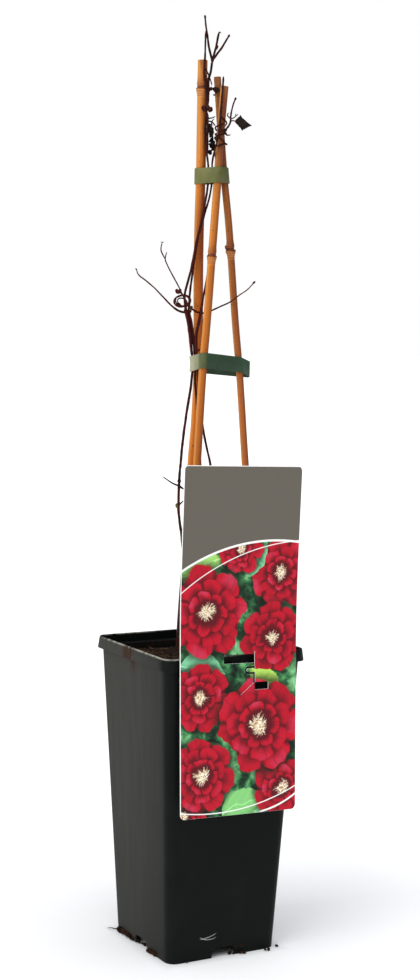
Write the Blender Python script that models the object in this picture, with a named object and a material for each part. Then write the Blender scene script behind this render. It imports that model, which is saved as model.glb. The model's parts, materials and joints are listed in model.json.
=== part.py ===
"""Dormant clematis in a deep square pot, tied to a trellis of three bamboo canes.

Metres, +Z up, standing on z = 0.  The origin is the middle of the whole object's footprint, so the
pot's axis stands a little behind it.  Canes, ties and stems are laid out on the plant's own axes,
turned from the pot's: x runs across the plant's front, y runs away from it, z is the height.
"""
import math

import bpy
import bmesh
from mathutils import Matrix, Vector, noise

MM = 0.001
GAP = 0.3 * MM                    # clearance between pieces that touch

# Placing
POT_AXIS = Vector((0.0, 6.4, 0.0)) * MM
PLANT_AXIS = Vector((-0.9, 4.3, 0.0)) * MM        # the plant stands a little off the pot's middle
PLANT_TURN = math.radians(-28.8)  # the plant's front is turned this far from the pot's

# Pot
POT_HEIGHT = 210.0 * MM
POT_FOOT_HALF = 41.5 * MM
POT_SHOULDER_HALF = 51.8 * MM
POT_SHOULDER_HEIGHT = 201.8 * MM
POT_BAND_HALF = 54.5 * MM         # bottom of the rim band, which flares a little
POT_RIM_HALF = 53.7 * MM
POT_WALL = 1.4 * MM
POT_FOOT_CORNER = 7.4 * MM
POT_RIM_CORNER = 7.8 * MM
POT_CORNER_STEPS = 6
POT_FLOOR_UNDERSIDE = 7.6 * MM
POT_FLOOR_TOP = 9.2 * MM
NOTCH_WIDTH = 18.0 * MM
NOTCH_HEIGHT = 6.5 * MM
NOTCH_CHAMFER = 2.5 * MM
DRAIN_RADIUS = 3.5 * MM
DRAIN_PITCH = 20.0 * MM
DRAIN_SIDES = 12

# Soil
SOIL_LEVEL = 198.5 * MM
SOIL_SIDE_RINGS = 2
SOIL_TOP_RINGS = 9
SOIL_BUMP = 1.6 * MM
SOIL_BUMP_SIZE = 11.0 * MM
STEM_HOLE_DEPTH = 22.0 * MM
STEM_HOLE_TOP = SOIL_LEVEL + 6.0 * MM
STEM_HOLE_GAP = 0.6 * MM
STEM_HOLE_SIDES = 12
CANE_HOLE_LEVELS = 8

# Canes: radius, height of the top, heights of the nodes, points of the axis in millimetres
CANE_SIDES = 12
CANE_STEP = 18.0 * MM
CANE_NODE_REACH = 8.0 * MM        # plain rings keep this far from a node
AXIS_STEP = 8.0 * MM
CANE_FOOT = POT_FLOOR_TOP + GAP
CANE_PITH = 0.3                   # pith hole at the cut end, as a share of the radius
CANE_PITH_DEPTH = 3.0 * MM
NODE_PROFILE = (                  # height from the node in millimetres, share of the radius
    (-6.0, 1.0), (-2.6, 1.05), (-1.2, 1.15), (-0.2, 1.12), (0.3, 0.95), (1.5, 0.98), (4.0, 1.0))
CANES = {
    "cane_back": (3.3 * MM, 605.0 * MM, (585.0, 322.0), (
        (-15, 30.5, 9.5), (-15, 30.5, 110), (-13.5, 29, 206), (-10.5, 24, 264), (-7.5, 17, 332),
        (-5.5, 13.5, 363), (-4.5, 9.7, 402), (-5.3, 7.1, 452), (-5.5, 4.9, 492), (-5, 3.2, 526),
        (-5, 1.8, 566), (-5, 0.5, 605))),
    "cane_front": (2.7 * MM, 587.5 * MM, (474.0, 300.0), (
        (-10, -30.5, 9.5), (-10, -30.5, 110), (-8.7, -29.3, 206), (-7, -24, 270), (-4, -17.2, 334),
        (-2.2, -12.8, 377), (-1, -10.7, 402), (1.2, -8.7, 434), (4.5, -5, 492), (6.5, -3.1, 527),
        (8, -2.7, 559), (10, -2.4, 588))),
    "cane_right": (2.45 * MM, 594.5 * MM, (478.0, 296.0), (
        (38, 0, 9.5), (39.2, 0, 110), (39.2, 0.2, 206), (35, 1, 268), (29, 2, 334), (25.5, 2.7, 377),
        (23.3, 3, 402), (20, 3, 434), (15, 3, 492), (11, 3, 527), (8, 3.3, 559), (5, 3.7, 595))),
}

# Ties: middle height where y is 0, slope across the plant and slope away from the front
TIE_WIDTH = 10.6 * MM
TIE_THICKNESS = 0.7 * MM
TIE_CLEARANCE = 0.4 * MM
TIE_ANGLES = 40
TIES = {
    "tie_upper": (528.5 * MM, 0.04, 0.0),
    "tie_lower": (401.6 * MM, 0.0, -0.175),
}
TIE_SLACK_PLACE = Vector((29.3, 9.0, 0.0)) * MM   # the lower tie stands off past the right cane
TIE_SLACK_RADIUS = 0.8 * MM

# Label: a card with a tongue that hooks over the rim; places on it are in millimetres
LABEL_WIDTH = 87.0 * MM
LABEL_HEIGHT = 230.6 * MM
LABEL_THICKNESS = 0.6 * MM
LABEL_CORNER = 2.4 * MM
LABEL_CORNER_STEPS = 4
LABEL_LEVELS = 16
LABEL_CENTRE = Vector((-1.1, -54.0, 220.7)) * MM
LABEL_TURN = math.radians(-1.85)
LABEL_TWIST = math.radians(-10.4)                 # turn gained for each metre up the card
LABEL_ROLL = math.radians(1.26)
LABEL_BEND = 24.0 * MM            # below this height on the card it leans out to the front
LABEL_BEND_SOFTNESS = 12.0 * MM
LABEL_LEAN = 0.075
LABEL_WINDOWS = ((-11.35, -15.5, 11.4, -9.6), (11.9, -33.4, 22.25, -28.4))
CUTTER_DEPTH = 1.5 * MM
CUT_WIDTH = 0.5 * MM
CUT_X = 11.6
CUT_TOP = -7.9
CUT_BOTTOM = -28.1
CUT_NOTCH_LOW = -22.4
CUT_NOTCH_TOP = -18.4
CUT_NOTCH_REACH = 4.35
CUT_NOTCH_STEPS = 4
CUT_END = (1.4, -36.2)
TONGUE_WIDTH = 14.0 * MM
TONGUE_THICKNESS = 0.6 * MM
TONGUE_PROFILE = (                # back from the card and up, in millimetres
    (0.0, -9.2), (2.0, -9.3), (4.0, -9.6), (5.2, -9.85), (6.1, -9.85), (7.0, -10.2), (7.4, -11.2),
    (7.4, -13.2), (7.3, -15.4))

# Stems
STEM_SIDES = 8
STALK_SIDES = 6
TENDRIL_SIDES = 5
STEM_STEP = 8.0 * MM
STALK_STEP = 5.0 * MM
TWIG_SIDES = 7
TWIG_STEP = 7.0 * MM
CURL_STEPS = 14                   # steps in one turn of a tendril
CURL_FLATNESS = 0.72
WRAP_STEP = 20.0 * MM
WRAP_SLACK = 1.15                 # a wound stalk's middle stands this many radii off the cane
BLADE_THICKNESS = 0.7 * MM

# Stem radius and axis in millimetres, from the soil up
STEMS = {
    "vine_left": (1.0 * MM, (
        (-7.5, -4, 180), (-7.5, -4, 206), (-9, -3.5, 235), (-11.5, -3, 264), (-13.5, -3, 282),
        (-16, -2, 300.5), (-16, -1, 322), (-14, 0.5, 349.5), (-12, 1.5, 366.5), (-9.4, 2.8, 385),
        (-8.1, 3.5, 401.5), (-9.1, 3.4, 410), (-10.1, 3, 419), (-11.8, 2.6, 430),
        (-13.4, 2, 437.5), (-14.5, 1.4, 448), (-12.4, 0.7, 457), (-10.2, -0.4, 466.5),
        (-8.5, -1.3, 476.5), (-6.5, -2, 487), (-4.5, -2.3, 495), (-2.8, -2.1, 504),
        (-1.5, -1.9, 511.5), (-0.4, -1.6, 519), (0.4, -1.3, 528), (-0.1, -1.5, 536),
        (-1.6, -2.2, 546), (-2.4, -3.2, 558), (-2, -3.4, 568), (-1.5, -3.5, 578))),
    "vine_middle": (1.0 * MM, (
        (-3, 2, 180), (-3, 2, 206), (-1.5, 2.5, 250), (0, 3, 300), (-2.5, 3.6, 345),
        (-5, 4.6, 375), (-6.3, 5, 388), (-6.5, 5.3, 401.5), (-7.1, 5.0, 410), (-8.1, 4.6, 419),
        (-9.8, 4.2, 430), (-11.3, 3.8, 437.5), (-11.1, 3.4, 448), (-10, 2.8, 458),
        (-8.8, 1.9, 468), (-7.6, 0.9, 477), (-6, 0.2, 487), (-4, -0.2, 495), (-1.8, -0.4, 503.5),
        (0.5, -0.6, 511.5), (2, -0.5, 519), (2.9, 0.1, 528), (2.6, -1, 535.5),
        (3.3, -4.4, 541), (4.5, -6.9, 546), (6, -7.3, 552), (7, -7.3, 558))),
    "vine_right": (0.8 * MM, (
        (3.5, -2, 180), (3.5, -2, 206), (6.5, -1, 250), (8.5, 0, 290), (8, -1, 314.5),
        (5, -2.5, 333.5), (2, -3.4, 346.5), (-0.5, -4.2, 359), (-2.5, -3.8, 374),
        (-4, -2.5, 387.5), (-5, -1, 401.5), (-6, -0.6, 414.5), (-5.9, -0.9, 422.5),
        (-4.6, -1.2, 429.5), (-3.4, -1.4, 436), (-1.5, -1.6, 448.5), (1, -1.6, 463),
        (2.5, -1.2, 475.5), (3.5, -0.4, 489), (4.5, 0.8, 504.5), (5, 2.2, 518),
        (5.5, 3.4, 528.5), (5.4, 3.8, 538), (4, 3.4, 546), (2.6, 2.6, 553), (2, 1.6, 560))),
}
STEM_TIP = 0.62 * MM              # radius at the upper end of every main stem


def points_mm(rows) -> list:
    """Places given in millimetres, as vectors in metres."""
    return [Vector(row) * MM for row in rows]


def clear_scene() -> None:
    """Remove every object of the file this runs in."""
    for old in list(bpy.data.objects):
        bpy.data.objects.remove(old, do_unlink=True)


def material(name: str, colour: tuple, roughness: float) -> bpy.types.Material:
    """A plain Principled material."""
    made = bpy.data.materials.new(name)
    made.use_nodes = True
    shader = made.node_tree.nodes["Principled BSDF"]
    shader.inputs["Base Color"].default_value = (*colour, 1.0)
    shader.inputs["Roughness"].default_value = roughness
    shader.inputs["Metallic"].default_value = 0.0
    return made


def empty(name: str, parent=None) -> bpy.types.Object:
    """An empty that carries other objects."""
    made = bpy.data.objects.new(name, None)
    bpy.context.scene.collection.objects.link(made)
    made.parent = parent
    return made


def object_from(name: str, bm: bmesh.types.BMesh, parent=None, finish=None) -> bpy.types.Object:
    """Turn a closed bmesh into an object with its faces pointing out."""
    bmesh.ops.recalc_face_normals(bm, faces=bm.faces)
    mesh = bpy.data.meshes.new(name)
    bm.to_mesh(mesh)
    bm.free()
    mesh.shade_smooth()
    mesh.set_sharp_from_angle(angle=math.radians(35))
    made = bpy.data.objects.new(name, mesh)
    bpy.context.scene.collection.objects.link(made)
    made.parent = parent
    if finish:
        mesh.materials.append(finish)
    return made


def loft(rings: list, closed: bool = False) -> bmesh.types.BMesh:
    """Skin rings of points, each as long as the next; an open row gets a face on both ends."""
    bm = bmesh.new()
    rows = [[bm.verts.new(point) for point in ring] for ring in rings]
    pairs = list(zip(rows, rows[1:]))
    if closed:
        pairs.append((rows[-1], rows[0]))
    else:
        bm.faces.new(reversed(rows[0]))
        bm.faces.new(rows[-1])
    for low, high in pairs:
        for i, _ in enumerate(low):
            j = (i + 1) % len(low)
            bm.faces.new((low[i], low[j], high[j], high[i]))
    return bm


def cut(target: bpy.types.Object, cutters: list) -> None:
    """Cut closed objects, kept as hidden wire guides, out of the target."""
    guides = bpy.data.collections.new(f"{target.name}_cutters")
    bpy.context.scene.collection.children.link(guides)
    for cutter in cutters:
        bpy.context.scene.collection.objects.unlink(cutter)
        guides.objects.link(cutter)
        cutter.hide_render = True
        cutter.display_type = "WIRE"
    modifier = target.modifiers.new("Cuts", "BOOLEAN")
    modifier.operation = "DIFFERENCE"
    modifier.operand_type = "COLLECTION"
    modifier.collection = guides


def fuse(name: str, pieces: list, parent, finish) -> bpy.types.Object:
    """Join closed pieces that overlap into one body with a single Boolean union."""
    body, *rest = pieces
    joined = bpy.data.collections.new(f"{name}_parts")
    bpy.context.scene.collection.children.link(joined)
    for piece in rest:
        bpy.context.scene.collection.objects.unlink(piece)
        joined.objects.link(piece)
    modifier = body.modifiers.new("Fuse", "BOOLEAN")
    modifier.operation = "UNION"
    modifier.operand_type = "COLLECTION"
    modifier.collection = joined
    bpy.context.view_layer.update()
    evaluated = body.evaluated_get(bpy.context.evaluated_depsgraph_get())
    mesh = bpy.data.meshes.new_from_object(evaluated)
    body.modifiers.remove(modifier)
    body.data = mesh
    for piece in rest:
        bpy.data.objects.remove(piece, do_unlink=True)
    bpy.data.collections.remove(joined)
    body.name = name
    mesh.name = name
    body.parent = parent
    mesh.materials.clear()
    mesh.materials.append(finish)
    return body


def blend(low: float, high: float, share: float) -> float:
    """Straight mix of two values."""
    return low + (high - low) * share


def wall_half(height: float) -> float:
    """Half the pot body's outer width at a height."""
    return blend(POT_FOOT_HALF, POT_SHOULDER_HALF, height / POT_SHOULDER_HEIGHT)


def wall_corner(height: float) -> float:
    """The pot body's outer corner radius at a height."""
    return blend(POT_FOOT_CORNER, POT_RIM_CORNER, height / POT_HEIGHT)


def square_ring(half: float, corner: float, height: float) -> list:
    """A square with round corners, level at a height."""
    ring = []
    for quarter in range(4):
        for step in range(POT_CORNER_STEPS + 1):
            angle = math.radians(90) * (quarter + step / POT_CORNER_STEPS)
            middle = math.radians(45) + math.radians(90) * quarter
            x = math.copysign(half - corner, math.cos(middle)) + corner * math.cos(angle)
            y = math.copysign(half - corner, math.sin(middle)) + corner * math.sin(angle)
            ring.append(Vector((x, y, height)))
    return ring


def wall_ring(height: float, inset: float) -> list:
    """A level ring that follows the pot's wall, set in from its outer face."""
    return square_ring(wall_half(height) - inset, wall_corner(height) - inset, height)


def make_pot(parent, finish) -> bpy.types.Object:
    """Thin-walled pot: skirt foot, lifted floor, tapered body and a rim band that stands out."""
    shelf = POT_SHOULDER_HEIGHT + POT_WALL
    rings = [
        wall_ring(POT_FLOOR_UNDERSIDE, POT_WALL),
        wall_ring(0.0, POT_WALL),
        wall_ring(0.0, 0.0),
        wall_ring(POT_SHOULDER_HEIGHT, 0.0),
        square_ring(POT_BAND_HALF, POT_RIM_CORNER, POT_SHOULDER_HEIGHT),
        square_ring(POT_RIM_HALF, POT_RIM_CORNER, POT_HEIGHT),
        square_ring(POT_RIM_HALF - POT_WALL, POT_RIM_CORNER - POT_WALL, POT_HEIGHT),
        square_ring(POT_BAND_HALF - POT_WALL, POT_RIM_CORNER - POT_WALL, shelf),
        wall_ring(shelf, POT_WALL),
        wall_ring(POT_FLOOR_TOP, POT_WALL),
    ]
    pot = object_from("pot", loft(rings), parent, finish)
    cut(pot, notch_cutters(parent) + drain_cutters(parent))
    return pot


def notch_cutters(parent) -> list:
    """Two bars under the floor that open a notch in the middle of each side's foot."""
    half, reach = NOTCH_WIDTH / 2, POT_SHOULDER_HALF
    outline = (
        (-half, -NOTCH_HEIGHT), (half, -NOTCH_HEIGHT), (half, NOTCH_HEIGHT - NOTCH_CHAMFER),
        (half - NOTCH_CHAMFER, NOTCH_HEIGHT), (NOTCH_CHAMFER - half, NOTCH_HEIGHT),
        (-half, NOTCH_HEIGHT - NOTCH_CHAMFER))
    along_x = [[Vector((x, y, z)) for y, z in outline] for x in (-reach, reach)]
    along_y = [[Vector((x, y, z)) for x, z in outline] for y in (-reach, reach)]
    return [
        object_from("notch_cutter_x", loft(along_x), parent),
        object_from("notch_cutter_y", loft(along_y), parent),
    ]


def drain_cutters(parent) -> list:
    """Round holes through the floor, in a three by three grid."""
    cutters = []
    for row in (-1, 0, 1):
        for column in (-1, 0, 1):
            bm = bmesh.new()
            middle = (POT_FLOOR_UNDERSIDE + POT_FLOOR_TOP) / 2
            bmesh.ops.create_cone(
                bm, cap_ends=True, segments=DRAIN_SIDES, radius1=DRAIN_RADIUS, radius2=DRAIN_RADIUS,
                depth=3 * POT_WALL,
                matrix=Matrix.Translation((column * DRAIN_PITCH, row * DRAIN_PITCH, middle)))
            cutters.append(object_from(f"drain_cutter_{row}_{column}", bm, parent))
    return cutters


def soil_height(x: float, y: float) -> float:
    """The soil's lumpy surface."""
    coarse = noise.noise(Vector((x, y, 0.0)) / SOIL_BUMP_SIZE)
    fine = noise.noise(Vector((x, y, SOIL_BUMP_SIZE)) / (0.4 * SOIL_BUMP_SIZE))
    return SOIL_LEVEL + SOIL_BUMP * coarse + 0.5 * SOIL_BUMP * fine


def make_soil(pot_frame, plant_frame, finish) -> bpy.types.Object:
    """Soil that fills the pot, with a lumpy top and plain holes for canes and stems."""
    inset = POT_WALL + GAP
    bottom = POT_FLOOR_TOP + GAP
    rings = []
    for step in range(SOIL_SIDE_RINGS):
        rings.append(wall_ring(blend(bottom, SOIL_LEVEL, step / SOIL_SIDE_RINGS), inset))
    edge = wall_ring(SOIL_LEVEL - SOIL_BUMP, inset)
    for step in range(SOIL_TOP_RINGS):
        share = 1.0 - step / SOIL_TOP_RINGS
        flat = [point * share for point in edge]
        rings.append([Vector((p.x, p.y, soil_height(p.x, p.y))) for p in flat])
    soil = object_from("soil", loft(rings), pot_frame, finish)
    cutters = []
    for name, (radius, _, _, points) in CANES.items():
        axis = points_mm(points)
        heights = [blend(-CANE_STEP, SOIL_LEVEL + CANE_STEP, level / CANE_HOLE_LEVELS)
                   for level in range(CANE_HOLE_LEVELS + 1)]
        holes = [circle(at_height(axis, z), radius + GAP, CANE_SIDES) for z in heights]
        cutters.append(object_from(f"{name}_hole", loft(holes), plant_frame))
    for name, (radius, points) in STEMS.items():
        foot = points_mm(points)[0]
        low = Vector((foot.x, foot.y, SOIL_LEVEL - STEM_HOLE_DEPTH))
        high = Vector((foot.x, foot.y, STEM_HOLE_TOP))
        holes = [circle(place, radius + STEM_HOLE_GAP, STEM_HOLE_SIDES) for place in (low, high)]
        cutters.append(object_from(f"{name}_hole", loft(holes), plant_frame))
    cut(soil, cutters)
    return soil


def circle(centre: Vector, radius: float, sides: int) -> list:
    """A level circle of points."""
    turn = 2 * math.pi / sides
    return [centre + Vector((math.cos(i * turn), math.sin(i * turn), 0)) * radius
            for i in range(sides)]


def smooth_path(points: list, step: float) -> list:
    """Read a smooth curve through the points, with a place about every step along it."""
    ends = [2 * points[0] - points[1], *points, 2 * points[-1] - points[-2]]
    path = []
    for a, b, c, d in zip(ends, ends[1:], ends[2:], ends[3:]):
        count = max(1, round((c - b).length / step))
        for i in range(count):
            t = i / count
            path.append(0.5 * (2 * b + (c - a) * t + (2 * a - 5 * b + 4 * c - d) * t ** 2
                               + (3 * b - a - 3 * c + d) * t ** 3))
    path.append(points[-1].copy())
    return path


def at_height(points: list, height: float) -> Vector:
    """Where the smooth curve through rising points passes a height."""
    path = smooth_path(points, AXIS_STEP)
    low, high = path[0], path[1]
    for low, high in zip(path, path[1:]):
        if high.z >= height:
            break
    share = (height - low.z) / (high.z - low.z)
    place = low.lerp(high, share)
    return Vector((place.x, place.y, height))


def cane_rings(points: list, radius: float, top: float, nodes: tuple) -> list:
    """Level rings up a cane: plain between the nodes, swollen and then waisted at each."""
    shares = {}
    steps = round((top - CANE_FOOT) / CANE_STEP)
    for step in range(steps + 1):
        height = blend(CANE_FOOT, top, step / steps)
        if all(abs(height - node * MM) > CANE_NODE_REACH for node in nodes):
            shares[height] = 1.0
    for node in nodes:
        for offset, share in NODE_PROFILE:
            shares[(node + offset) * MM] = share
    return [circle(at_height(points, z), radius * shares[z], CANE_SIDES) for z in sorted(shares)]


def make_cane(name: str, parent, finish) -> bpy.types.Object:
    """One bamboo cane with its nodes and a small pith hole at the cut top."""
    radius, top, nodes, points = CANES[name]
    axis = points_mm(points)
    rings = cane_rings(axis, radius, top, nodes)
    head = at_height(axis, top)
    rings.append(circle(head, CANE_PITH * radius, CANE_SIDES))
    rings.append(circle(head - Vector((0, 0, CANE_PITH_DEPTH)), CANE_PITH * radius, CANE_SIDES))
    return object_from(name, loft(rings), parent, finish)


def taut_point(strands: list, angle: float, level: float, slopes: tuple, offset: float) -> Vector:
    """A point of the loop drawn taut round strands at a level, where its normal has this angle.

    Each strand is its axis points and its radius; the loop stands off them by the offset.
    """
    across, away = slopes
    normal = Vector((math.cos(angle), math.sin(angle), 0.0))
    best, best_reach = None, -math.inf
    for points, radius in strands:
        centre = at_height(points, level) if len(points) > 1 else points[0]
        centre = at_height(points, level + across * centre.x + away * centre.y) \
            if len(points) > 1 else centre
        reach = centre.dot(normal) + radius
        if reach > best_reach:
            best, best_reach = centre + normal * (radius + offset), reach
    return Vector((best.x, best.y, level + across * best.x + away * best.y))


def tie_strands(name: str) -> list:
    """The canes and stems that a tie goes round, and the slack of the lower one."""
    strands = [(points_mm(points), radius) for radius, _, _, points in CANES.values()]
    strands += [(points_mm(points), radius) for radius, points in STEMS.values()]
    if name == "tie_lower":
        strands.append(([TIE_SLACK_PLACE], TIE_SLACK_RADIUS))
    return strands


def make_tie(name: str, parent, finish) -> bpy.types.Object:
    """A closed loop of flat strip round the canes and stems."""
    height, across, away = TIES[name]
    strands = tie_strands(name)
    levels = [height - TIE_WIDTH / 2, height, height + TIE_WIDTH / 2]
    inner = [(level, TIE_CLEARANCE) for level in levels]
    outer = [(level, TIE_CLEARANCE + TIE_THICKNESS) for level in reversed(levels)]
    rings = []
    for i in range(TIE_ANGLES):
        angle = 2 * math.pi * i / TIE_ANGLES
        rings.append([taut_point(strands, angle, level, (across, away), offset)
                      for level, offset in inner + outer])
    return object_from(name, loft(rings, closed=True), parent, finish)


def on_card(x: float, y: float, z: float) -> Vector:
    """Where a place of the flat card goes: x across its front, y back from it, z up from its middle."""
    below = LABEL_BEND_SOFTNESS * math.log1p(math.exp((LABEL_BEND - z) / LABEL_BEND_SOFTNESS))
    back = y - LABEL_LEAN * below
    turn = LABEL_TURN + LABEL_TWIST * z
    across = x * math.cos(LABEL_ROLL) + z * math.sin(LABEL_ROLL)
    up = z * math.cos(LABEL_ROLL) - x * math.sin(LABEL_ROLL)
    return LABEL_CENTRE + Vector((
        across * math.cos(turn) - back * math.sin(turn),
        across * math.sin(turn) + back * math.cos(turn), up))


def card_prism(outline: list, depth: float) -> bmesh.types.BMesh:
    """An outline of places (x, z) on the card, with its thickness on both sides of the card."""
    return loft([[on_card(x, y, z) for x, z in outline] for y in (-depth / 2, depth / 2)])


def card_sheet() -> bmesh.types.BMesh:
    """The whole bent card, lofted from its foot to its top, with round corners."""
    middle, half = LABEL_HEIGHT / 2 - LABEL_CORNER, LABEL_WIDTH / 2 - LABEL_CORNER
    rows = []
    for step in range(LABEL_CORNER_STEPS):
        angle = math.radians(90) * step / LABEL_CORNER_STEPS
        rows.append((middle + LABEL_CORNER * math.cos(angle), half + LABEL_CORNER * math.sin(angle)))
    levels = [(blend(middle, -middle, step / LABEL_LEVELS), LABEL_WIDTH / 2)
              for step in range(LABEL_LEVELS + 1)]
    rows = rows + levels + [(-z, wide) for z, wide in reversed(rows)]
    skin = LABEL_THICKNESS / 2
    return loft([[on_card(x, y, z) for x, y in ((-wide, -skin), (wide, -skin), (wide, skin), (-wide, skin))]
                 for z, wide in rows])


def card_slot(start: tuple, end: tuple, width: float) -> list:
    """The outline of a straight cut between two places given in millimetres."""
    a, b = Vector(start) * MM, Vector(end) * MM
    along = (b - a).normalized() * width / 2
    side = Vector((-along.y, along.x))
    a, b = a - along, b + along
    return [a - side, b - side, b + side, a + side]


def notch_path() -> list:
    """The thin cut in the card: down, round the notch, down again and off to the lower left."""
    middle = (CUT_NOTCH_LOW + CUT_NOTCH_TOP) / 2
    half = (CUT_NOTCH_TOP - CUT_NOTCH_LOW) / 2
    path = [(CUT_X, CUT_TOP), (CUT_X, CUT_NOTCH_TOP)]
    for step in range(CUT_NOTCH_STEPS + 1):
        angle = math.radians(90 + 180 * step / CUT_NOTCH_STEPS)
        x = CUT_X - CUT_NOTCH_REACH + half * math.cos(angle)
        path.append((x, middle + half * math.sin(angle)))
    return path + [(CUT_X, CUT_NOTCH_LOW), (CUT_X, CUT_BOTTOM), CUT_END]


def make_label(parent, finish) -> bpy.types.Object:
    """Thin bent hang card with round corners, two windows, a thin cut and a tongue over the rim."""
    label = fuse("label", [object_from("label", card_sheet()), make_tongue()], parent, finish)
    outlines = [
        [Vector((x, z)) * MM for x, z in ((x0, z0), (x1, z0), (x1, z1), (x0, z1))]
        for x0, z0, x1, z1 in LABEL_WINDOWS]
    path = notch_path()
    outlines += [card_slot(a, b, CUT_WIDTH) for a, b in zip(path, path[1:])]
    cut(label, [object_from(f"label_cutter_{i}", card_prism(outline, CUTTER_DEPTH), parent)
                for i, outline in enumerate(outlines)])
    return label


def make_tongue() -> bpy.types.Object:
    """The tongue: from the upper window's edge back over the rim and down inside the pot."""
    profile = [Vector(place) * MM for place in TONGUE_PROFILE]
    rings = []
    for i, place in enumerate(profile):
        before, after = profile[max(i - 1, 0)], profile[min(i + 1, len(profile) - 1)]
        along = (after - before).normalized()
        side = Vector((-along.y, along.x)) * TONGUE_THICKNESS / 2
        ring = []
        for x, offset in ((-1, -side), (1, -side), (1, side), (-1, side)):
            spot = place + offset
            ring.append(on_card(x * TONGUE_WIDTH / 2, spot.x, spot.y))
        rings.append(ring)
    return object_from("tongue", loft(rings))


def tube(points: list, radii: tuple, sides: int, step: float) -> bpy.types.Object:
    """A closed tube along the smooth curve through the points, tapering between two radii."""
    path = smooth_path(points, step)
    tangents = [(path[min(i + 1, len(path) - 1)] - path[max(i - 1, 0)]).normalized()
                for i in range(len(path))]
    side = tangents[0].orthogonal().normalized()
    rings = []
    for i, place in enumerate(path):
        if i:
            side = tangents[i - 1].rotation_difference(tangents[i]) @ side
        other = tangents[i].cross(side)
        radius = blend(*radii, i / (len(path) - 1))
        ring = []
        for corner in range(sides):
            angle = 2 * math.pi * corner / sides
            ring.append(place + radius * (math.cos(angle) * side + math.sin(angle) * other))
        rings.append(ring)
    return object_from("tube", loft(rings))


def stalk(rows, base: float, tip: float = 0.4) -> bpy.types.Object:
    """A leaf stalk or twig through places in millimetres, with its two radii in millimetres."""
    return tube(points_mm(rows), (base * MM, tip * MM), STALK_SIDES, STALK_STEP)


def bead(place, size, lean=(0.0, 0.0, 1.0), finer: int = 1) -> bpy.types.Object:
    """A bud, knot or swelling: a small ball stretched along a direction; sizes in millimetres."""
    bm = bmesh.new()
    wide, long = size
    turn = Vector((0, 0, 1)).rotation_difference(Vector(lean)).to_matrix().to_4x4()
    stretch = Matrix.Diagonal((wide * MM, wide * MM, long * MM, 1.0))
    bmesh.ops.create_icosphere(
        bm, subdivisions=finer, radius=1.0,
        matrix=Matrix.Translation(Vector(place) * MM) @ turn @ stretch)
    return object_from("bead", bm)


def blade(rows, widths: tuple, across: tuple, fold: float) -> bpy.types.Object:
    """A dried leaf: a thin folded blade along its midrib, with half-widths in millimetres."""
    spine = points_mm(rows)
    side = Vector(across).normalized()
    rings = []
    for i, place in enumerate(spine):
        before, after = spine[max(i - 1, 0)], spine[min(i + 1, len(spine) - 1)]
        normal = (after - before).cross(side).normalized()
        lift = normal * fold * widths[i] * MM
        rib = [place - side * widths[i] * MM + lift, place, place + side * widths[i] * MM + lift]
        skin = normal * BLADE_THICKNESS / 2
        rings.append([p + skin for p in rib] + [p - skin for p in reversed(rib)])
    return object_from("blade", loft(rings))


def curl(centre, radii: tuple, turns: tuple, depth: tuple, tilt: float, thick: float):
    """A curled tendril: a flat coil seen from the front whose radii shrink as it turns."""
    steps = round(CURL_STEPS * abs(turns[1] - turns[0]))
    rows = []
    for i in range(steps + 1):
        share = i / steps
        angle = 2 * math.pi * blend(*turns, share)
        x = blend(*radii, share) * math.cos(angle)
        z = CURL_FLATNESS * blend(*radii, share) * math.sin(angle)
        rows.append(Vector(centre) + Vector((
            x * math.cos(tilt) - z * math.sin(tilt), blend(*depth, share),
            x * math.sin(tilt) + z * math.cos(tilt))))
    return tube(points_mm(rows), (thick * MM, 0.85 * thick * MM), TENDRIL_SIDES, STALK_STEP)


def wrap(names: tuple, heights: tuple, turns: tuple, thick: float) -> bpy.types.Object:
    """A leaf stalk wound round one cane or two, just clear of them."""
    strands = [(points_mm(CANES[name][3]), CANES[name][0]) for name in names]
    steps = round(CURL_STEPS * abs(turns[1] - turns[0]))
    path = []
    for i in range(steps + 1):
        share = i / steps
        angle = 2 * math.pi * blend(*turns, share)
        height = blend(*heights, share) * MM
        path.append(taut_point(strands, angle, height, (0.0, 0.0), GAP + WRAP_SLACK * thick * MM))
    return tube(path, (thick * MM, 0.85 * thick * MM), TENDRIL_SIDES, WRAP_STEP)


def main_stem(name: str) -> bpy.types.Object:
    """The stem itself, from its hole in the soil to its highest node."""
    radius, points = STEMS[name]
    return tube(points_mm(points), (radius, STEM_TIP), STEM_SIDES, STEM_STEP)


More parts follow.
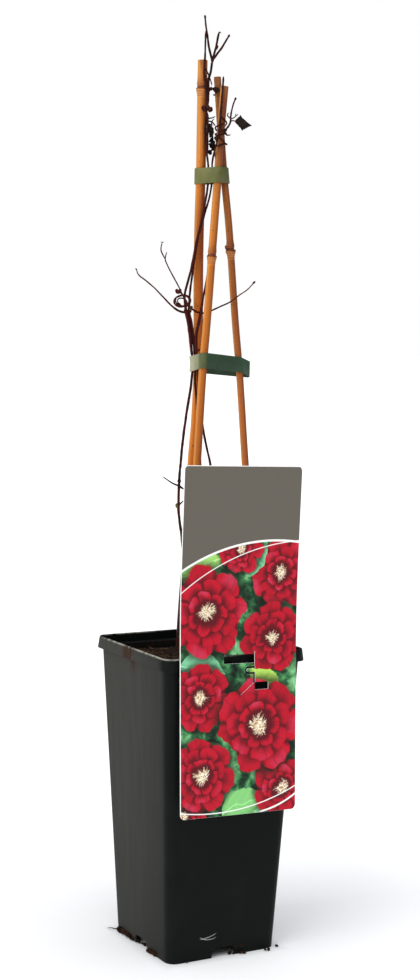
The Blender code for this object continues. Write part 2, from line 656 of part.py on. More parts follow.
def left_vine_parts() -> list:
    """Left stem: old buds low down, the tangle of tendrils, and the long twigs at the top."""
    return [
        bead((-17.3, -1.9, 304.5), (1.1, 1.9), (-0.3, 0, 1)),
        stalk(((-15.8, -1.8, 305.0), (-14.2, -2.6, 307.0), (-12.4, -3.4, 308.8)), 0.5),
        bead((-16.0, -1.1, 321.5), (1.3, 1.5)),
        stalk(((-12.5, -2.2, 316), (-16.2, -1.9, 318.2), (-21, 0.5, 320), (-27.5, 3, 324)), 0.75, 0.35),
        bead((-13.5, 2.0, 437.0), (1.5, 2.2), (-0.2, 0, 1)),
        stalk(((-13.4, 2.0, 436.2), (-18.5, 0.5, 437.5), (-23, -1, 440.5), (-29, -3.5, 446.5),
               (-34.5, -6, 452), (-40.5, -8.5, 457), (-44, -10, 459.5), (-46, -10.8, 461.5),
               (-47, -11, 464.2)), 0.6),
        bead((-47.1, -11, 464.4), (0.5, 0.9), (-0.6, 0, 0.8)),
        curl((-16.2, 0, 444), (6.0, 4.7), (-0.23, 1.35), (1.4, -3.0), math.radians(12), 0.55),
        curl((-16.4, 0, 443.6), (4.4, 2.6), (0.42, 1.75), (-2.8, 0.0), math.radians(-15), 0.5),
        stalk(((-14.4, 1.2, 446.5), (-16.5, 0.2, 449.0), (-18.6, -0.8, 450.3)), 0.55),
        bead((-18.7, -0.9, 450.2), (1.5, 2.0), (1, 0, 0.3), 2),
        bead((-19.9, -0.4, 451.0), (1.1, 1.3), (0.4, 0, 1)),
        bead((-17.5, -1.5, 451.2), (1.0, 1.2), (0, 0, 1)),
        stalk(((-0.9, -2.2, 543), (-1.0, -3.3, 552), (-0.9, -3.9, 562), (-1.4, -3.8, 570)), 0.8, 0.7),
        blade(((-0.2, -3.6, 562), (0.9, -4.1, 559.5), (1.4, -4.0, 556.5), (0.8, -3.4, 553.5)),
              (0.5, 1.5, 1.4, 0.4), (1, 0.5, 0), 0.3),
        stalk(((-1.6, -3.6, 565.4), (0, -4.0, 566.1), (2.2, -5.3, 566.3), (4, -6.1, 567.2)), 0.5),
        stalk(((-1.4, -3.6, 564.3), (1.2, -4.3, 564.0), (3.2, -5.6, 562.4), (4.4, -6.0, 560.6)), 0.55),
        stalk(((-1.6, -3.6, 562.0), (0.8, -4.5, 562.2), (2.9, -5.0, 561.4)), 0.5),
        bead((0.6, -3.6, 572.0), (1.4, 1.7), (0.5, 0, 1), 2),
        bead((-3.1, -3.7, 572.6), (1.5, 1.8), (-0.5, 0, 1)),
        bead((-1.2, -3.9, 573.6), (1.5, 1.8)),
        tube(points_mm(((-1.6, -3.5, 577), (-2.4, -3.9, 588), (-3.8, -4.3, 595), (-3.5, -4.3, 606),
                        (-3.4, -4.2, 614), (-3.3, -4.0, 623.5))),
             (0.75 * MM, 0.4 * MM), TWIG_SIDES, TWIG_STEP),
        tube(points_mm(((-1.9, -3.4, 570), (-0.9, -2.9, 581), (-0.9, -2.4, 591), (0.4, -1.8, 597),
                        (1.5, -1.2, 604.5))), (0.75 * MM, 0.6 * MM), TWIG_SIDES, TWIG_STEP),
        bead((1.5, -1.2, 605.0), (1.1, 1.9)),
        stalk(((1.4, -1.2, 604.5), (0.5, -1.6, 607.8), (-1.1, -2.3, 614.0), (-2.3, -3.0, 621.5),
               (-3.3, -3.3, 627.5), (-4.0, -3.3, 633.5)), 0.6, 0.42),
        bead((-3.4, -3.3, 628.3), (0.65, 1.2)),
        bead((-3.9, -3.3, 632.8), (0.75, 1.5), (-0.1, 0, 1)),
        stalk(((1.6, -1.2, 604.8), (2.5, -0.6, 609), (3.6, 0.2, 613.3), (4.9, 1.1, 620.5),
               (5.9, 1.7, 624.3)), 0.62, 0.5),
        bead((3.9, 0.3, 613.0), (0.7, 1.5), (0.8, 0, 1)),
        stalk(((5.6, 1.5, 623.4), (6.4, 1.3, 623.9), (7.2, 1.0, 623.2)), 0.5),
        stalk(((1.6, -1.3, 604.8), (4.9, -2.5, 609.3), (7.4, -3.4, 612.4), (9.6, -4.4, 616.2),
               (12.3, -5.4, 620.3)), 0.6, 0.5),
        bead((12.1, -5.3, 620.2), (0.8, 1.3), (0.5, -0.2, 0.8)),
        stalk(((-3.6, -4.3, 600), (-1.2, -3.8, 595.5), (0.8, -3.4, 590.5), (1.4, -3.0, 588.0)), 0.42),
        stalk(((-1.2, -3.2, 583.0), (0.4, -2.6, 585.2), (1.6, -0.6, 586.2), (2.7, 1.2, 586.0),
               (2.8, 2.4, 585.9)), 0.6, 0.5),
        bead((1.0, -2.4, 585.9), (1.2, 1.3), (0, 0, 1), 2),
        wrap(("cane_right",), (586.0, 582.2), (-0.44, 0.62), 0.5),
        blade(((1.8, -0.4, 586.2), (3.2, -0.4, 585.8), (4.8, -0.5, 585.0), (6.2, -0.3, 585.6)),
              (0.5, 1.1, 1.7, 0.6), (0.1, 0.1, 1), 0.1),
    ]


def middle_vine_parts() -> list:
    """Middle stem: a green bud in the tangle, stalks round two canes, twigs and a dried leaf."""
    return [
        bead((-11.0, 3.2, 437.8), (1.5, 2.4)),
        bead((-10.0, 2.1, 439.2), (1.2, 2.2), (0.4, -0.4, 1), 2),
        bead((7.3, -7.2, 558.0), (1.4, 2.0), (0.3, 0, 1), 2),
        wrap(("cane_front", "cane_right"), (547.5, 562.5), (-0.34, 1.85), 0.6),
        wrap(("cane_front", "cane_right"), (567.0, 550.0), (-0.3, 0.95), 0.5),
        stalk(((5.2, -7.2, 549.2), (5.4, -7.6, 552.5), (6.6, -7.9, 555.8), (7.4, -7.6, 559.0)), 0.6, 0.5),
        tube(points_mm(((7.1, -7.3, 556.5), (7.5, -7.2, 567.5), (8.1, -6.9, 576), (8.6, -6.7, 584),
                        (9.0, -6.4, 593.5))), (0.75 * MM, 0.65 * MM), TWIG_SIDES, TWIG_STEP),
        stalk(((7.2, -7.3, 557.6), (9.4, -7.5, 557.6), (11.2, -7.0, 558.6), (13.4, -6.0, 561.5),
               (14.4, -5.0, 564.5), (14.5, -4.4, 568), (15.0, -4.0, 571.5), (16.1, -3.4, 576),
               (17.4, -3.0, 579.5)), 0.7, 0.42),
        bead((17.4, -3.0, 579.4), (0.75, 1.1), (0.4, 0, 1)),
        bead((10.6, -7.2, 557.9), (1.2, 1.7), (1, 0, 0.3), 2),
        stalk(((10.8, -7.1, 558.2), (12.2, -6.8, 559.8), (13.3, -6.5, 560.0)), 0.6, 0.5),
        stalk(((10.4, -7.2, 557.6), (11.4, -7.1, 555.4), (12.8, -6.9, 554.8), (14.7, -6.6, 555.2)), 0.6),
        stalk(((14.4, -4.8, 565.9), (13.2, -5.4, 566.9), (12.2, -6.0, 567.8), (12.4, -6.2, 569.2),
               (13.4, -6.2, 569.6)), 0.45, 0.38),
        stalk(((14.4, -4.8, 565.9), (16.4, -4.5, 566.6), (17.9, -4.1, 568.0), (17.6, -3.7, 569.6)),
              0.45, 0.38),
        stalk(((17.5, -4.2, 567.5), (18.5, -4.2, 568.3), (19.4, -4.2, 569.5)), 0.42, 0.38),
        stalk(((14.2, -5.1, 563.9), (16.0, -5.6, 564.7), (18.0, -6.1, 563.9)), 0.5),
        blade(((17.2, -6.0, 564.1), (19.8, -6.6, 563.6), (22.6, -7.0, 562.6), (25.4, -8.0, 561.9),
               (28.5, -9.0, 561.2)), (0.5, 2.9, 4.9, 2.6, 0.5), (-0.12, 0.05, 1), 0.22),
    ]


def right_vine_parts() -> list:
    """Right stem: its node with two long leaf stalks, and a cluster of dried leaf scraps."""
    return [
        bead((-3.3, -1.4, 436.0), (1.3, 2.0)),
        bead((-4.6, -1.9, 411.0), (0.9, 1.3), (1, 0, 0.6)),
        stalk(((-5.7, -0.9, 411.0), (-4.5, -1.9, 411.2), (-3.4, -2.6, 411.6)), 0.5),
        stalk(((-3.6, -1.6, 436.2), (-6.2, -3.0, 436.8), (-9, -4.8, 438.5), (-11.5, -5.6, 441),
               (-14.5, -5.8, 445.5), (-18.5, -5.2, 453.5), (-23, -4.2, 461.5), (-27, -3.4, 469),
               (-28.0, -3.0, 472.5), (-27.0, -2.4, 476.8)), 0.5),
        stalk(((-27.8, -3.1, 471.4), (-29.4, -3.3, 474.4), (-30.6, -3.6, 476.8),
               (-30.9, -3.8, 479.5), (-30.1, -3.8, 483.2)), 0.45),
        stalk(((-31.2, -3.8, 483.4), (-30.0, -3.8, 483.0), (-28.9, -3.8, 483.4)), 0.42),
        stalk(((-3.2, -1.2, 435.8), (0, 0.4, 436.5), (4, 0.6, 438), (10.5, -1, 441),
               (16.5, -2.6, 444), (22.5, -4.2, 448.5), (28, -5.6, 452.5), (32.5, -7, 457.3)), 0.5),
        bead((32.2, -6.9, 457.1), (0.75, 1.4), (0.7, -0.2, 0.7)),
        blade(((4.0, 3.0, 546.2), (2.6, 0.6, 549.2), (3.0, -1.4, 550.4), (3.8, -2.6, 549.4)),
              (0.6, 1.5, 1.9, 0.5), (0.8, 0.2, 0.5), 0.3),
        blade(((3.8, 3.0, 545.8), (1.8, 1.2, 546.0), (1.0, 0.0, 544.4), (1.8, -1.0, 542.4)),
              (0.6, 1.6, 1.5, 0.4), (0.8, -0.3, 0.5), 0.25),
        blade(((3.0, 2.6, 551.0), (1.2, 1.0, 552.4), (0.4, -0.2, 551.6)),
              (0.6, 1.4, 0.5), (0.6, -0.3, 0.8), 0.2),
        stalk(((2.0, 1.6, 558.6), (1.6, 0.6, 562.5), (2.4, -0.4, 565.5), (3.4, -0.9, 566.2)), 0.5),
    ]


def main() -> None:
    """Build every piece in its place."""
    clear_scene()
    pot_frame = empty("pot_frame")
    pot_frame.location = POT_AXIS
    label_frame = empty("label_frame")
    label_frame.location = PLANT_AXIS
    plant_frame = empty("plant_frame")
    plant_frame.location = PLANT_AXIS
    plant_frame.rotation_euler = (0.0, 0.0, PLANT_TURN)

    make_pot(pot_frame, material("black_plastic", (0.035, 0.035, 0.032), 0.5))
    make_soil(pot_frame, plant_frame, material("potting_soil", (0.06, 0.035, 0.02), 0.95))
    bamboo = {
        "cane_back": material("bamboo_golden", (0.62, 0.30, 0.09), 0.45),
        "cane_front": material("bamboo_amber", (0.68, 0.33, 0.10), 0.45),
        "cane_right": material("bamboo_russet", (0.48, 0.19, 0.06), 0.45),
    }
    for name, finish in bamboo.items():
        make_cane(name, plant_frame, finish)
    make_tie("tie_upper", plant_frame, material("olive_plastic", (0.12, 0.16, 0.05), 0.4))
    make_tie("tie_lower", plant_frame, material("green_plastic", (0.03, 0.09, 0.045), 0.35))
    make_label(label_frame, material("card_plastic", (0.35, 0.05, 0.06), 0.3))
    bark = material("vine_bark", (0.06, 0.012, 0.01), 0.6)
    for name, parts in (
            ("vine_left", left_vine_parts), ("vine_middle", middle_vine_parts),
            ("vine_right", right_vine_parts)):
        fuse(name, [main_stem(name), *parts()], plant_frame, bark)


main()
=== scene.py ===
"""A dormant clematis in a deep square pot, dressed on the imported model.

Metres, +Z up, in the model's own frame.  Tables of places are millimetres on the plant's own axes:
x across the plant's front, y away from it, z up.
"""
from __future__ import annotations

import json
import logging
import math
import random
from dataclasses import dataclass
from enum import Enum
from functools import cache
from typing import Any, Callable, Mapping, Sequence

import bmesh
import bpy
from mathutils import Matrix, Vector, noise

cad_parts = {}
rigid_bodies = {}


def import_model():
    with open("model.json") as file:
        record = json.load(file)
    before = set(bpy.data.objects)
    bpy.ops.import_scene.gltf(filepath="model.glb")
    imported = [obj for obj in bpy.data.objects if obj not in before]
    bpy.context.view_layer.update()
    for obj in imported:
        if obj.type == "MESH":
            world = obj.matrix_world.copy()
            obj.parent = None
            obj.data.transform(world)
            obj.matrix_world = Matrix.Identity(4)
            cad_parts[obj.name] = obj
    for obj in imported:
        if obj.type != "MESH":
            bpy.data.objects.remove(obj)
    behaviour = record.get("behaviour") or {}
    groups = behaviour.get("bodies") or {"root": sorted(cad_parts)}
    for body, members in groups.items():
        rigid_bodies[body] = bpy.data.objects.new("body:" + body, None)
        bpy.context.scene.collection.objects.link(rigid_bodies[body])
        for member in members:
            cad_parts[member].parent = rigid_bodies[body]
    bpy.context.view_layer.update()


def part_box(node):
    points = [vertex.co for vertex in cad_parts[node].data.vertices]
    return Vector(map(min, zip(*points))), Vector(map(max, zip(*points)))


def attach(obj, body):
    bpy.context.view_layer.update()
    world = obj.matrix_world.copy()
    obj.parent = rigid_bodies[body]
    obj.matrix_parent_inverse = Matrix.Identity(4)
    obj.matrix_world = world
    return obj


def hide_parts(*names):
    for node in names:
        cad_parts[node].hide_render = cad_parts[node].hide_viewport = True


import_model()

LOG = logging.getLogger("clematis")
MM = 0.001
BODY = "root"
STRAND_STEP = 8.0 * MM          # along the axes that bands go round
NOISE_SEED = 5      # of the stems' sway, which would differ from run to run without one
PLANT_AXIS = Vector((-0.9, 4.3, 0)) * MM
PLANT_TURN = math.radians(-28.8)
PLANT = Matrix.Translation(PLANT_AXIS) @ Matrix.Rotation(PLANT_TURN, 4, "Z")

Colour = tuple[float, float, float]
Row = tuple[float, float, float]
Span = tuple[float, float]
Chain = tuple[list[Vector], Span]       # a path and its radii at both ends
Piece = bpy.types.Object
Finish = bpy.types.Material


def _operator(operation: str, swapped: bool = False) -> Callable[..., Socket]:
    """Make an operator's method that adds one Math node.

    Args:
        operation: The node's operation.
        swapped: Whether the other value comes first.

    Returns:
        The method.
    """
    def method(self: Socket, value: Socket | float = 0.0) -> Socket:
        """Add the node."""
        return self.tree.maths(operation, *((value, self) if swapped else (self, value)))
    return method


class Socket:
    """A node's output that Python's operators work on; each operator adds a Math node."""

    __add__, __radd__ = _operator("ADD"), _operator("ADD", True)
    __sub__, __rsub__ = _operator("SUBTRACT"), _operator("SUBTRACT", True)
    __mul__, __rmul__ = _operator("MULTIPLY"), _operator("MULTIPLY", True)
    __truediv__, __pow__, __abs__ = _operator("DIVIDE"), _operator("POWER"), _operator("ABSOLUTE")

    def __init__(self, tree: Tree, out: bpy.types.NodeSocket) -> None:
        """Wrap an output of a tree's node."""
        self.tree = tree
        self.out = out

    def other(self, name: str | int) -> Socket:
        """Another output of the same node."""
        return Socket(self.tree, self.out.node.outputs[name])


class Tree:
    """Adds nodes to a shader tree or a Geometry Nodes tree."""

    def __init__(self, tree: bpy.types.NodeTree) -> None:
        """Work on a node tree."""
        self.tree = tree

    def node(self, kind: str, settings: Mapping[str, Any] | None = None,
            sockets: Mapping[str | int, Any] | None = None, output: str | int = 0) -> Socket:
        """Add a node.

        Args:
            kind: The node's type.
            settings: Its properties, set first; "stops" fills a ramp and "points" a float curve.
            sockets: Values or links of its inputs, by name or number.
            output: The output that is handed back.

        Returns:
            That output, wrapped.
        """
        made = self.tree.nodes.new(kind)
        for key, value in (settings or {}).items():
            if key == "stops":
                self._fill_ramp(made.color_ramp, value)
            elif key == "points":
                self._fill_curve(made.mapping, value)
            else:
                setattr(made, key, value)
        for key, value in (sockets or {}).items():
            self.feed(made.inputs[key], value)
        return Socket(self, made.outputs[output])

    def feed(self, socket: bpy.types.NodeSocket, value: Any) -> None:
        """Link a wrapped output to an input, or set the input's value.

        Args:
            socket: The input.
            value: What it gets.
        """
        if isinstance(value, Socket):
            self.tree.links.new(value.out, socket)
        elif socket.type == "RGBA" and len(value) == 3:
            socket.default_value = (*value, 1)
        else:
            socket.default_value = value

    @staticmethod
    def _fill_ramp(ramp: bpy.types.ColorRamp, stops: Sequence[tuple[float, Colour]]) -> None:
        """Give a colour ramp its stops.

        Args:
            ramp: The ramp.
            stops: Each stop's place and colour.
        """
        while len(ramp.elements) < len(stops):
            ramp.elements.new(1)
        for element, (place, colour) in zip(ramp.elements, stops):
            element.position = place
            element.color = (*colour, 1)

    @staticmethod
    def _fill_curve(mapping: bpy.types.CurveMapping, points: Sequence[Span]) -> None:
        """Give a float curve its points.

        Args:
            mapping: The curve.
            points: The places on it.
        """
        curve = mapping.curves[0]
        while len(curve.points) < len(points):
            curve.points.new(0.5, 0.5)
        for point, place in zip(curve.points, points):
            point.location = place
        mapping.update()

    def maths(self, operation: str, first: Any, second: Any = 0.0) -> Socket:
        """A Math node on two values."""
        return self.node("ShaderNodeMath", {"operation": operation}, {0: first, 1: second})

    def vectors(self, operation: str, first: Any, second: Any) -> Socket:
        """A Vector Math node on two vectors."""
        return self.node("ShaderNodeVectorMath", {"operation": operation}, {0: first, 1: second})

    def scaled(self, vector: Any, size: Any) -> Socket:
        """A vector made longer or shorter."""
        return self.node("ShaderNodeVectorMath", {"operation": "SCALE"}, {0: vector, "Scale": size})

    def smooth(self, value: Any, low: float, high: float) -> Socket:
        """0 at one value and 1 at the other, with a soft step between; they may run downwards."""
        return self.node("ShaderNodeMapRange", {"interpolation_type": "SMOOTHSTEP"},
            {"Value": value, "From Min": low, "From Max": high})

    def parts(self, vector: Socket) -> tuple[Socket, Socket, Socket]:
        """A vector's three numbers."""
        split = self.node("ShaderNodeSeparateXYZ", None, {0: vector})
        return split, split.other(1), split.other(2)

    def joined(self, x: Any, y: Any, z: Any) -> Socket:
        """A vector from three numbers."""
        return self.node("ShaderNodeCombineXYZ", None, {0: x, 1: y, 2: z})

    def noise(self, vector: Socket, scale: float, detail: float = 2.0, roughness: float = 0.5,
            distortion: float = 0.0) -> Socket:
        """Noise between 0 and 1."""
        return self.node("ShaderNodeTexNoise", None,
            {"Vector": vector, "Scale": scale, "Detail": detail, "Roughness": roughness,
            "Distortion": distortion})

    def stretched(self, vector: Socket, scales: Row, detail: float = 2.0, roughness: float = 0.5) -> Socket:
        """Noise between 0 and 1 with its own fineness along each axis."""
        return self.noise(self.vectors("MULTIPLY", vector, scales), 1, detail, roughness)


class Material(Tree):
    """Builds one material round a Principled shader."""

    def __init__(self, name: str) -> None:
        """Start a material with its shader and its output."""
        self.material = bpy.data.materials.new(name)
        self.material.use_nodes = True
        super().__init__(self.material.node_tree)
        self.shader = self.tree.nodes["Principled BSDF"]

    def set(self, name: str, value: Any) -> None:
        """Feed one of the shader's sockets with a value or a link."""
        self.feed(self.shader.inputs[name], value)

    def place(self) -> Socket:
        """Object coordinates, in metres."""
        return self.node("ShaderNodeTexCoord", None, None, "Object")

    def attribute(self, name: str) -> Socket:
        """A vector attribute of the piece's own mesh."""
        return self.node("ShaderNodeAttribute", {"attribute_name": name}, None, "Vector")

    def mix(self, first: Any, second: Any, share: Any) -> Socket:
        """Mix two colours."""
        return self.node("ShaderNodeMix", {"data_type": "RGBA"}, {0: share, 6: first, 7: second}, 2)

    def ramp(self, value: Socket, stops: Sequence[tuple[float, Colour]]) -> Socket:
        """A colour ramp."""
        return self.node("ShaderNodeValToRGB", {"stops": stops}, {"Fac": value})

    def finished(self, tone: Socket, roughness: Any, specular: float, height: Socket,
            depth: float) -> Finish:
        """Feed the shader and hand the material over.

        Args:
            tone: The base colour.
            roughness: The roughness.
            specular: How much of the plain reflection it has, of 1.
            height: What raises the surface, from 0 to 1.
            depth: By how many metres.

        Returns:
            The material.
        """
        self.set("Base Color", tone)
        self.set("Roughness", roughness)
        self.set("Specular IOR Level", specular)
        self.set("Normal", self.node("ShaderNodeBump", None,
            {"Strength": 1, "Distance": depth, "Height": height}))
        return self.material


class Geometry(Tree):
    """Builds one Geometry Nodes tree with named inputs, and runs it."""

    def __init__(self, name: str, inputs: Mapping[str, str]) -> None:
        """Start a tree.

        Args:
            name: The tree's name.
            inputs: Each input's label and its kind of socket.
        """
        group = bpy.data.node_groups.new(name, "GeometryNodeTree")
        super().__init__(group)
        face = group.interface
        face.new_socket("Geometry", in_out="INPUT", socket_type="NodeSocketGeometry")
        self.keys = {label: face.new_socket(label, in_out="INPUT",
            socket_type=f"NodeSocket{kind}").identifier for label, kind in inputs.items()}
        face.new_socket("Geometry", in_out="OUTPUT", socket_type="NodeSocketGeometry")
        self.start = group.nodes.new("NodeGroupInput")

    def given(self, name: str) -> Socket:
        """One of the tree's inputs."""
        return Socket(self, self.start.outputs[name])

    def named(self, name: str, kind: str) -> Socket:
        """Read an attribute."""
        return self.node("GeometryNodeInputNamedAttribute", {"data_type": kind}, {"Name": name})

    def store(self, geometry: Socket, name: str, kind: str, value: Socket) -> Socket:
        """Write an attribute on the points."""
        return self.node("GeometryNodeStoreNamedAttribute", {"data_type": kind, "domain": "POINT"},
            {"Geometry": geometry, "Name": name, "Value": value})

    def end(self, geometry: Socket) -> None:
        """Realize what was made, give it the tree's material and send it out.

        Args:
            geometry: What was made.
        """
        real = self.node("GeometryNodeRealizeInstances", None, {0: geometry})
        soft = self.node("GeometryNodeSetShadeSmooth", None, {"Geometry": real})
        dressed = self.node("GeometryNodeSetMaterial", None,
            {"Geometry": soft, "Material": self.given("Material")})
        self.feed(self.tree.nodes.new("NodeGroupOutput").inputs[0], dressed)

    def run(self, source: Piece, values: Mapping[str, Any]) -> Piece:
        """Run the tree on an object and keep the result as that object's plain mesh.

        Args:
            source: The object that carries the paths, points or surface.
            values: The tree's inputs by label.

        Returns:
            The same object with its new mesh and no modifier.
        """
        modifier = source.modifiers.new("Build", "NODES")
        modifier.node_group = self.tree
        for label, value in values.items():
            modifier[self.keys[label]] = value
        source.update_tag()
        graph = bpy.context.evaluated_depsgraph_get()
        mesh = bpy.data.meshes.new_from_object(source.evaluated_get(graph), preserve_all_data_layers=True,
            depsgraph=graph)
        source.modifiers.remove(modifier)
        source.data = mesh
        mesh.name = source.name
        return source


def mesh_object(name: str, mesh: bpy.types.Mesh) -> Piece:
    """Link a new object that holds a mesh, at the origin."""
    made = bpy.data.objects.new(name, mesh)
    bpy.context.scene.collection.objects.link(made)
    return made


def bare(name: str, bm: bmesh.types.BMesh) -> Piece:
    """Turn a bmesh, which is freed, into an object as it is."""
    mesh = bpy.data.meshes.new(name)
    bm.to_mesh(mesh)
    bm.free()
    return mesh_object(name, mesh)


def solid(name: str, bm: bmesh.types.BMesh, material: Finish, sharp: float = 40.0) -> Piece:
    """Turn a bmesh into a smooth-shaded object with its faces outwards.

    Args:
        name: The object's name.
        bm: The mesh, which is freed.
        material: Its finish.
        sharp: Edges that turn by more degrees than this stay sharp.

    Returns:
        The object.
    """
    bmesh.ops.recalc_face_normals(bm, faces=bm.faces)
    made = bare(name, bm)
    made.data.shade_smooth()
    made.data.set_sharp_from_angle(angle=math.radians(sharp))
    made.data.materials.append(material)
    return made


def finish_piece(piece: Piece, slot: str, *nodes: str) -> Piece:
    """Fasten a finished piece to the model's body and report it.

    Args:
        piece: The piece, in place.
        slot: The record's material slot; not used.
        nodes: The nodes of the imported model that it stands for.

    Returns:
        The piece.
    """
    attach(piece, BODY)
    if nodes:
        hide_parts(*nodes)
    LOG.info("%s: %d faces", piece.name, len(piece.data.polygons))
    return piece


def loft(rings: Sequence[Sequence[Vector]], closed: bool = False) -> bmesh.types.BMesh:
    """Skin rings of points.

    Args:
        rings: The rings, each as long as the next.
        closed: Whether the last joins the first; otherwise both ends get a face.

    Returns:
        The mesh.
    """
    bm = bmesh.new()
    rows = [[bm.verts.new(point) for point in ring] for ring in rings]
    pairs = list(zip(rows, rows[1:]))
    if closed:
        pairs.append((rows[-1], rows[0]))
    else:
        bm.faces.new(reversed(rows[0]))
        bm.faces.new(rows[-1])
    for low, high in pairs:
        for i, _ in enumerate(low):
            j = (i + 1) % len(low)
            bm.faces.new((low[i], low[j], high[j], high[i]))
    return bm


def carve(target: Piece, shapes: Sequence[bmesh.types.BMesh], sharp: float = 35.0) -> None:
    """Cut closed shapes out of an object.

    Args:
        target: The object.
        shapes: The shapes, which are freed.
        sharp: Edges that turn by more degrees than this stay sharp.
    """
    cutters = bpy.data.collections.new("cutters")
    bpy.context.scene.collection.children.link(cutters)
    for bm in shapes:
        bmesh.ops.recalc_face_normals(bm, faces=bm.faces)
        mesh = bpy.data.meshes.new("cutter")
        bm.to_mesh(mesh)
        bm.free()
        cutters.objects.link(bpy.data.objects.new("cutter", mesh))
    modifier = target.modifiers.new("Cuts", "BOOLEAN")
    modifier.operation = "DIFFERENCE"
    modifier.operand_type = "COLLECTION"
    modifier.collection = cutters
    graph = bpy.context.evaluated_depsgraph_get()
    target.data = bpy.data.meshes.new_from_object(target.evaluated_get(graph))
    target.modifiers.clear()
    for cutter in list(cutters.objects):
        bpy.data.objects.remove(cutter, do_unlink=True)
    bpy.data.collections.remove(cutters)
    target.data.shade_smooth()
    target.data.set_sharp_from_angle(angle=math.radians(sharp))


def blend(low: float, high: float, share: float) -> float:
    """Straight mix of two values."""
    return low + (high - low) * share


def places(rows: Sequence[Sequence[float]]) -> list[Vector]:
    """Places given in millimetres, as vectors in metres."""
    return [Vector(row) * MM for row in rows]


def smooth_path(points: Sequence[Vector], step: float) -> list[Vector]:
    """Read a smooth curve through points.

    Args:
        points: What it passes.
        step: About how far apart its places are.

    Returns:
        The places.
    """
    ends = [2 * points[0] - points[1], *points, 2 * points[-1] - points[-2]]
    path = []
    for a, b, c, d in zip(ends, ends[1:], ends[2:], ends[3:]):
        count = max(1, round((c - b).length / step))
        for i in range(count):
            t = i / count
            path.append(0.5 * (2 * b + (c - a) * t + (2 * a - 5 * b + 4 * c - d) * t ** 2
                + (3 * b - a - 3 * c + d) * t ** 3))
    path.append(points[-1].copy())
    return path


def at_height(path: Sequence[Vector], height: float) -> Vector:
    """Where a rising path passes a height.

    Args:
        path: The path, from below.
        height: The height.

    Returns:
        The place.
    """
    low, high = path[0], path[1]
    for low, high in zip(path, path[1:]):
        if high.z >= height:
            break
    place = low.lerp(high, (height - low.z) / (high.z - low.z))
    return Vector((place.x, place.y, height))


def polylines(name: str, chains: Sequence[tuple[Sequence[Vector], Sequence[float]]]) -> Piece:
    """An object of edge chains that carries each point's radius as the attribute girth.

    Args:
        name: Its name.
        chains: Each chain's places and radii.

    Returns:
        The object.
    """
    points, edges, girths = [], [], []
    for path, radii in chains:
        start = len(points)
        points.extend(path)
        girths.extend(radii)
        edges.extend((start + i, start + i + 1) for i in range(len(path) - 1))
    mesh = bpy.data.meshes.new(name)
    mesh.from_pydata(points, edges, [])
    girth = mesh.attributes.new("girth", "FLOAT", "POINT")
    girth.data.foreach_set("value", girths)
    return mesh_object(name, mesh)


def set_points(name: str, rows: Sequence[tuple[Vector, Vector, Vector]]) -> Piece:
    """Points that carry a direction and a size for the piece that is set on each.

    Args:
        name: The object's name.
        rows: Each point's place, direction and size.

    Returns:
        The object of points.
    """
    mesh = bpy.data.meshes.new(name)
    mesh.from_pydata([place for place, _, _ in rows], [], [])
    lean = mesh.attributes.new("lean", "FLOAT_VECTOR", "POINT")
    size = mesh.attributes.new("size", "FLOAT_VECTOR", "POINT")
    for i, (_, direction, extent) in enumerate(rows):
        lean.data[i].vector = direction
        size.data[i].vector = extent
    return mesh_object(name, mesh)


class Wood(Enum):
    """The tones of a bamboo culm by height in metres, with a near-black foot on the golden culm and darker
    bands higher up, and its stain.
    """

    GOLDEN = (((0.262, (0.02, 0.008, 0.004)), (0.285, (0.42, 0.108, 0.004)), (0.44, (0.47, 0.112, 0.006)),
               (0.49, (0.31, 0.072, 0.008)), (0.53, (0.45, 0.128, 0.012)), (0.59, (0.47, 0.175, 0.036))),
              (0.17, 0.026, 0.008))
    AMBER = (((0.36, (0.36, 0.1, 0.01)), (0.44, (0.43, 0.122, 0.01)), (0.515, (0.43, 0.136, 0.016)),
              (0.54, (0.19, 0.056, 0.014)), (0.576, (0.2, 0.058, 0.018)), (0.587, (0.38, 0.15, 0.042))),
             (0.16, 0.034, 0.01))
    RUSSET = (((0.36, (0.36, 0.098, 0.018)), (0.44, (0.25, 0.066, 0.012)), (0.51, (0.29, 0.088, 0.016)),
               (0.55, (0.15, 0.04, 0.012)), (0.588, (0.26, 0.095, 0.028))), (0.12, 0.024, 0.008))


